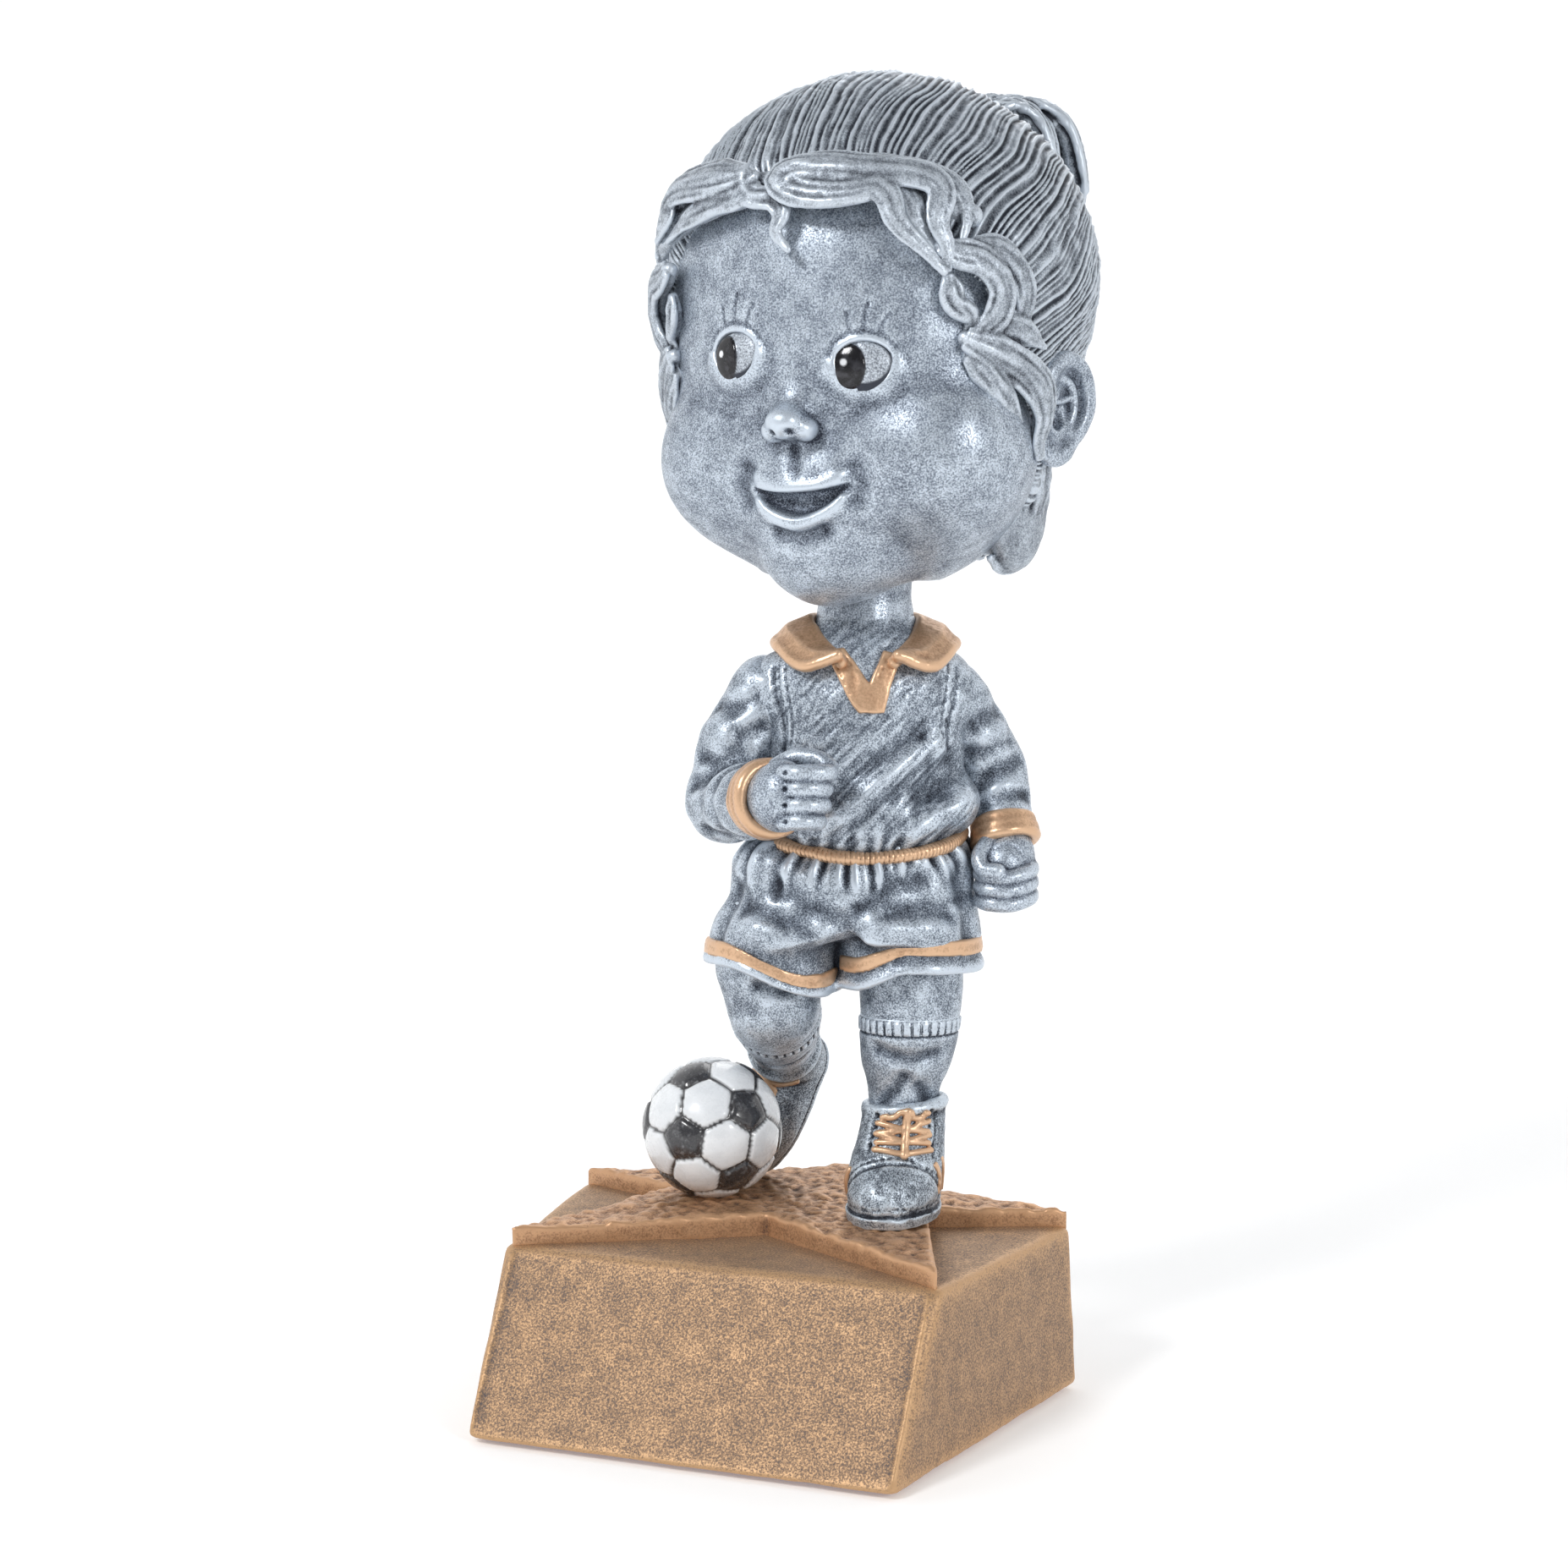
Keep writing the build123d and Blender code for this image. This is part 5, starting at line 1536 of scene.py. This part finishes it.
def left_arm_pieces():
    """The arm that hangs bent at the side, its fist closed."""
    folds = [
        ([(11.8, -3.0, 74.2), (14.2, -1.4, 75.4), (17.0, 0.2, 76.4)], 0.5, 1.6),
        ([(12.6, -2.0, 71.6), (15.0, -1.0, 73.2), (18.0, 1.0, 74.4)], 0.45, 1.5),
        ([(12.8, -3.6, 78.4), (15.0, -2.4, 79.8), (16.4, 0, 80.6)], 0.45, 1.6),
        ([(13.4, -1.8, 69.4), (16.0, -2.0, 70.4), (18.8, 0, 70.2)], 0.4, 1.5),
    ]
    joints = [(10.2, 0.4, 81.9), (12.4, 1.6, 78.3), (15.0, 3.6, 73.6), (16.1, 0.6, 66.8)]
    sleeve = Clay((7, -6.5, 64.5), (22, 10, 88.5), 0.25)
    wrist, axis = sleeve_piece("left", sleeve, joints, ([3.9, 3.9, 3.9], [3.9, 3.9, 3.5]), folds)
    cuff = Clay((10.5, -5.5, 60.5), (22, 6, 70.5), 0.18)
    cuff_piece("left", cuff, wrist, axis, ((-0.2, 3.2), (0.8, 3.35), (1.8, 3.4)), 0.72, 65)

    hand = Clay((10.5, -7.5, 55.8), (22, 5, 69), 0.17)
    hand.tube([wrist, wrist + axis * 3], [2.7, 2.9], 0)
    hand.egg((16.1, -1.5, 62.0), (3.5, 3.6, 4.0), blend=1.5)
    for k in range(3):
        z = 61.5 - 1.55 * k
        finger = spline([(19.2, -1.4, z + 0.6), (18.7, -4.0, z + 0.3), (16.4, -5.3, z - 0.3),
                         (14.0, -4.8, z - 0.2), (13.2, -2.8, z)])
        hand.tube(finger, 0.92, 0.2)
    hand.tube(spline([(14.2, -2.6, 65.2), (13.0, -4.0, 63.6), (13.4, -5.0, 62.2), (15.0, -5.5, 61.9)]),
              0.95, 0.3)
    silver("left_fist", hand, "left_hand", material=SILVER)


def neck_piece():
    """The neck, which widens a little at the chin and the collar, with its bore for the spring cup."""
    clay = Clay((-7.5, -7.5, 79), (7.5, 7.5, 98.5), 0.25)
    clay.shape(stack([(79.8, 0, 0, 5.3, 5.3), (87, 0, 0, 5.8, 5.7), (91.4, 0, 0, 5.6, 5.5),
                      (93.5, 0, 0, 5.3, 5.3), (97, 0, 0, 5.5, 5.5)]))
    clay.shape(lambda x, y, z: np.maximum(np.hypot(x, y) - 4.33, 94 - z), blend=0.1, cut=True)
    silver("neck_post", clay, "neck", material=SILVER)


left_leg_pieces()
right_leg_pieces()
shorts_pieces()
collar_pieces(jersey_pieces())
right_arm_pieces()
left_arm_pieces()
neck_piece()
for node, material in (
    ("ball_pin", STEEL), ("left_foot_pin", STEEL), ("right_toe_pin", STEEL), ("bobble_spring", SPRING_STEEL),
    ("spring_cup", BRASS), ("spring_cap", BRASS), ("head_plug", WOOD),
):
    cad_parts[node].data.materials.clear()
    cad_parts[node].data.materials.append(material)


# ------------------------------------------------------------------ camera, floor and lights
CAMERA_AZIMUTH, CAMERA_PITCH = 21.48, 3.5  # degrees: round from the front, and looking down
CAMERA_PLACE = (104.18, -254.64, 88.86)
CAMERA_LENS = 55.83
AIM = (0.004, 0.004, 0.078)
COVE_START, COVE_BEND, COVE_WALL, COVE_BACK = 0.25, 0.4, 0.5, 2.5  # metres: the wall is taller at the back
COVE_GLOW = 0.25


def camera():
    """The photograph's view."""
    data = bpy.data.cameras.new("camera")
    data.lens = CAMERA_LENS
    data.sensor_width = 36.0
    data.clip_start = 0.01
    data.clip_end = 20.0
    piece = put_in_scene("camera", data)
    piece.location = np.array(CAMERA_PLACE) * MM
    piece.rotation_euler = (np.radians(90 - CAMERA_PITCH), 0, np.radians(CAMERA_AZIMUTH))
    bpy.context.scene.camera = piece


def softbox(name, azimuth, height, distance, size, power):
    """A square lamp aimed at the figure, azimuth degrees round from the front towards the right."""
    data = bpy.data.lights.new(name, "AREA")
    data.shape = "SQUARE"
    data.size = size
    data.energy = power
    piece = put_in_scene(name, data)
    angle = np.radians(azimuth)
    piece.location = Vector(AIM) + Vector((distance * np.sin(angle), -distance * np.cos(angle), height))
    piece.rotation_euler = (piece.location - Vector(AIM)).to_track_quat("Z", "Y").to_euler()


def backdrop():
    """A pale studio cove: a floor that curves up into a wall behind the figure and at both its sides."""
    bend = np.linspace(0, np.pi / 2, 17)
    reach = np.concatenate([[0.0, 0.12], COVE_START + COVE_BEND * np.sin(bend), [COVE_START + COVE_BEND]])
    rise = np.concatenate([[0.0, 0.0], COVE_BEND * (1 - np.cos(bend)), [COVE_BEND + COVE_WALL]])
    last = np.arange(len(reach)) == len(reach) - 1
    turns = np.linspace(-180, 180, 97)  # degrees round from straight behind the figure
    wall = 1 - smooth_step(np.abs(turns), 100, 130)
    tall = 1 - smooth_step(np.abs(turns), 40, 80)
    reach = reach + np.outer(2.5 * (1 - wall), last)
    rise = np.outer(wall, rise) + np.outer(COVE_BACK * tall, last) - 0.0003
    angles = np.radians(turns + CAMERA_AZIMUTH)[:, None]
    points = np.stack([-reach * np.sin(angles), reach * np.cos(angles), rise], axis=-1).reshape(-1, 3)
    rows = len(last)
    quads = [(k * rows + j, (k + 1) * rows + j, (k + 1) * rows + j + 1, k * rows + j + 1)
             for k, j in product(range(len(turns) - 1), range(rows - 1))]
    mesh = bpy.data.meshes.new("studio_cove")
    mesh.from_pydata(points.tolist(), [], quads)
    mesh.shade_smooth()
    piece = put_in_scene("studio_cove", mesh)
    shader = Shader("studio_cove", Roughness=0.9, Emission_Strength=COVE_GLOW)
    shader.surface.inputs["Emission Color"].default_value = (1, 1, 1, 1)
    tone = shader.noise(400.0, detail=2.0)
    shader.wire("Base Color", shader.mix(shader.ramp(tone, 0.3, 0.7), (0.86, 0.86, 0.86), (0.90, 0.90, 0.90)))
    piece.data.materials.append(shader.material)


def sky():
    """An even pale surround, and tones shown as they are."""
    bpy.context.scene.view_settings.view_transform = "Standard"
    world = bpy.data.worlds.new("surround")
    bpy.context.scene.world = world
    world.use_nodes = True
    background = world.node_tree.nodes["Background"]
    background.inputs["Color"].default_value = (0.95, 0.97, 1.0, 1)
    background.inputs["Strength"].default_value = 0.3


camera()
softbox("key", -20, 0.34, 0.50, 0.13, 1.75)
softbox("fill", 60, 0.16, 0.55, 0.13, 0.85)
softbox("back", 190, 0.45, 0.55, 0.30, 0.5)
backdrop()
sky()
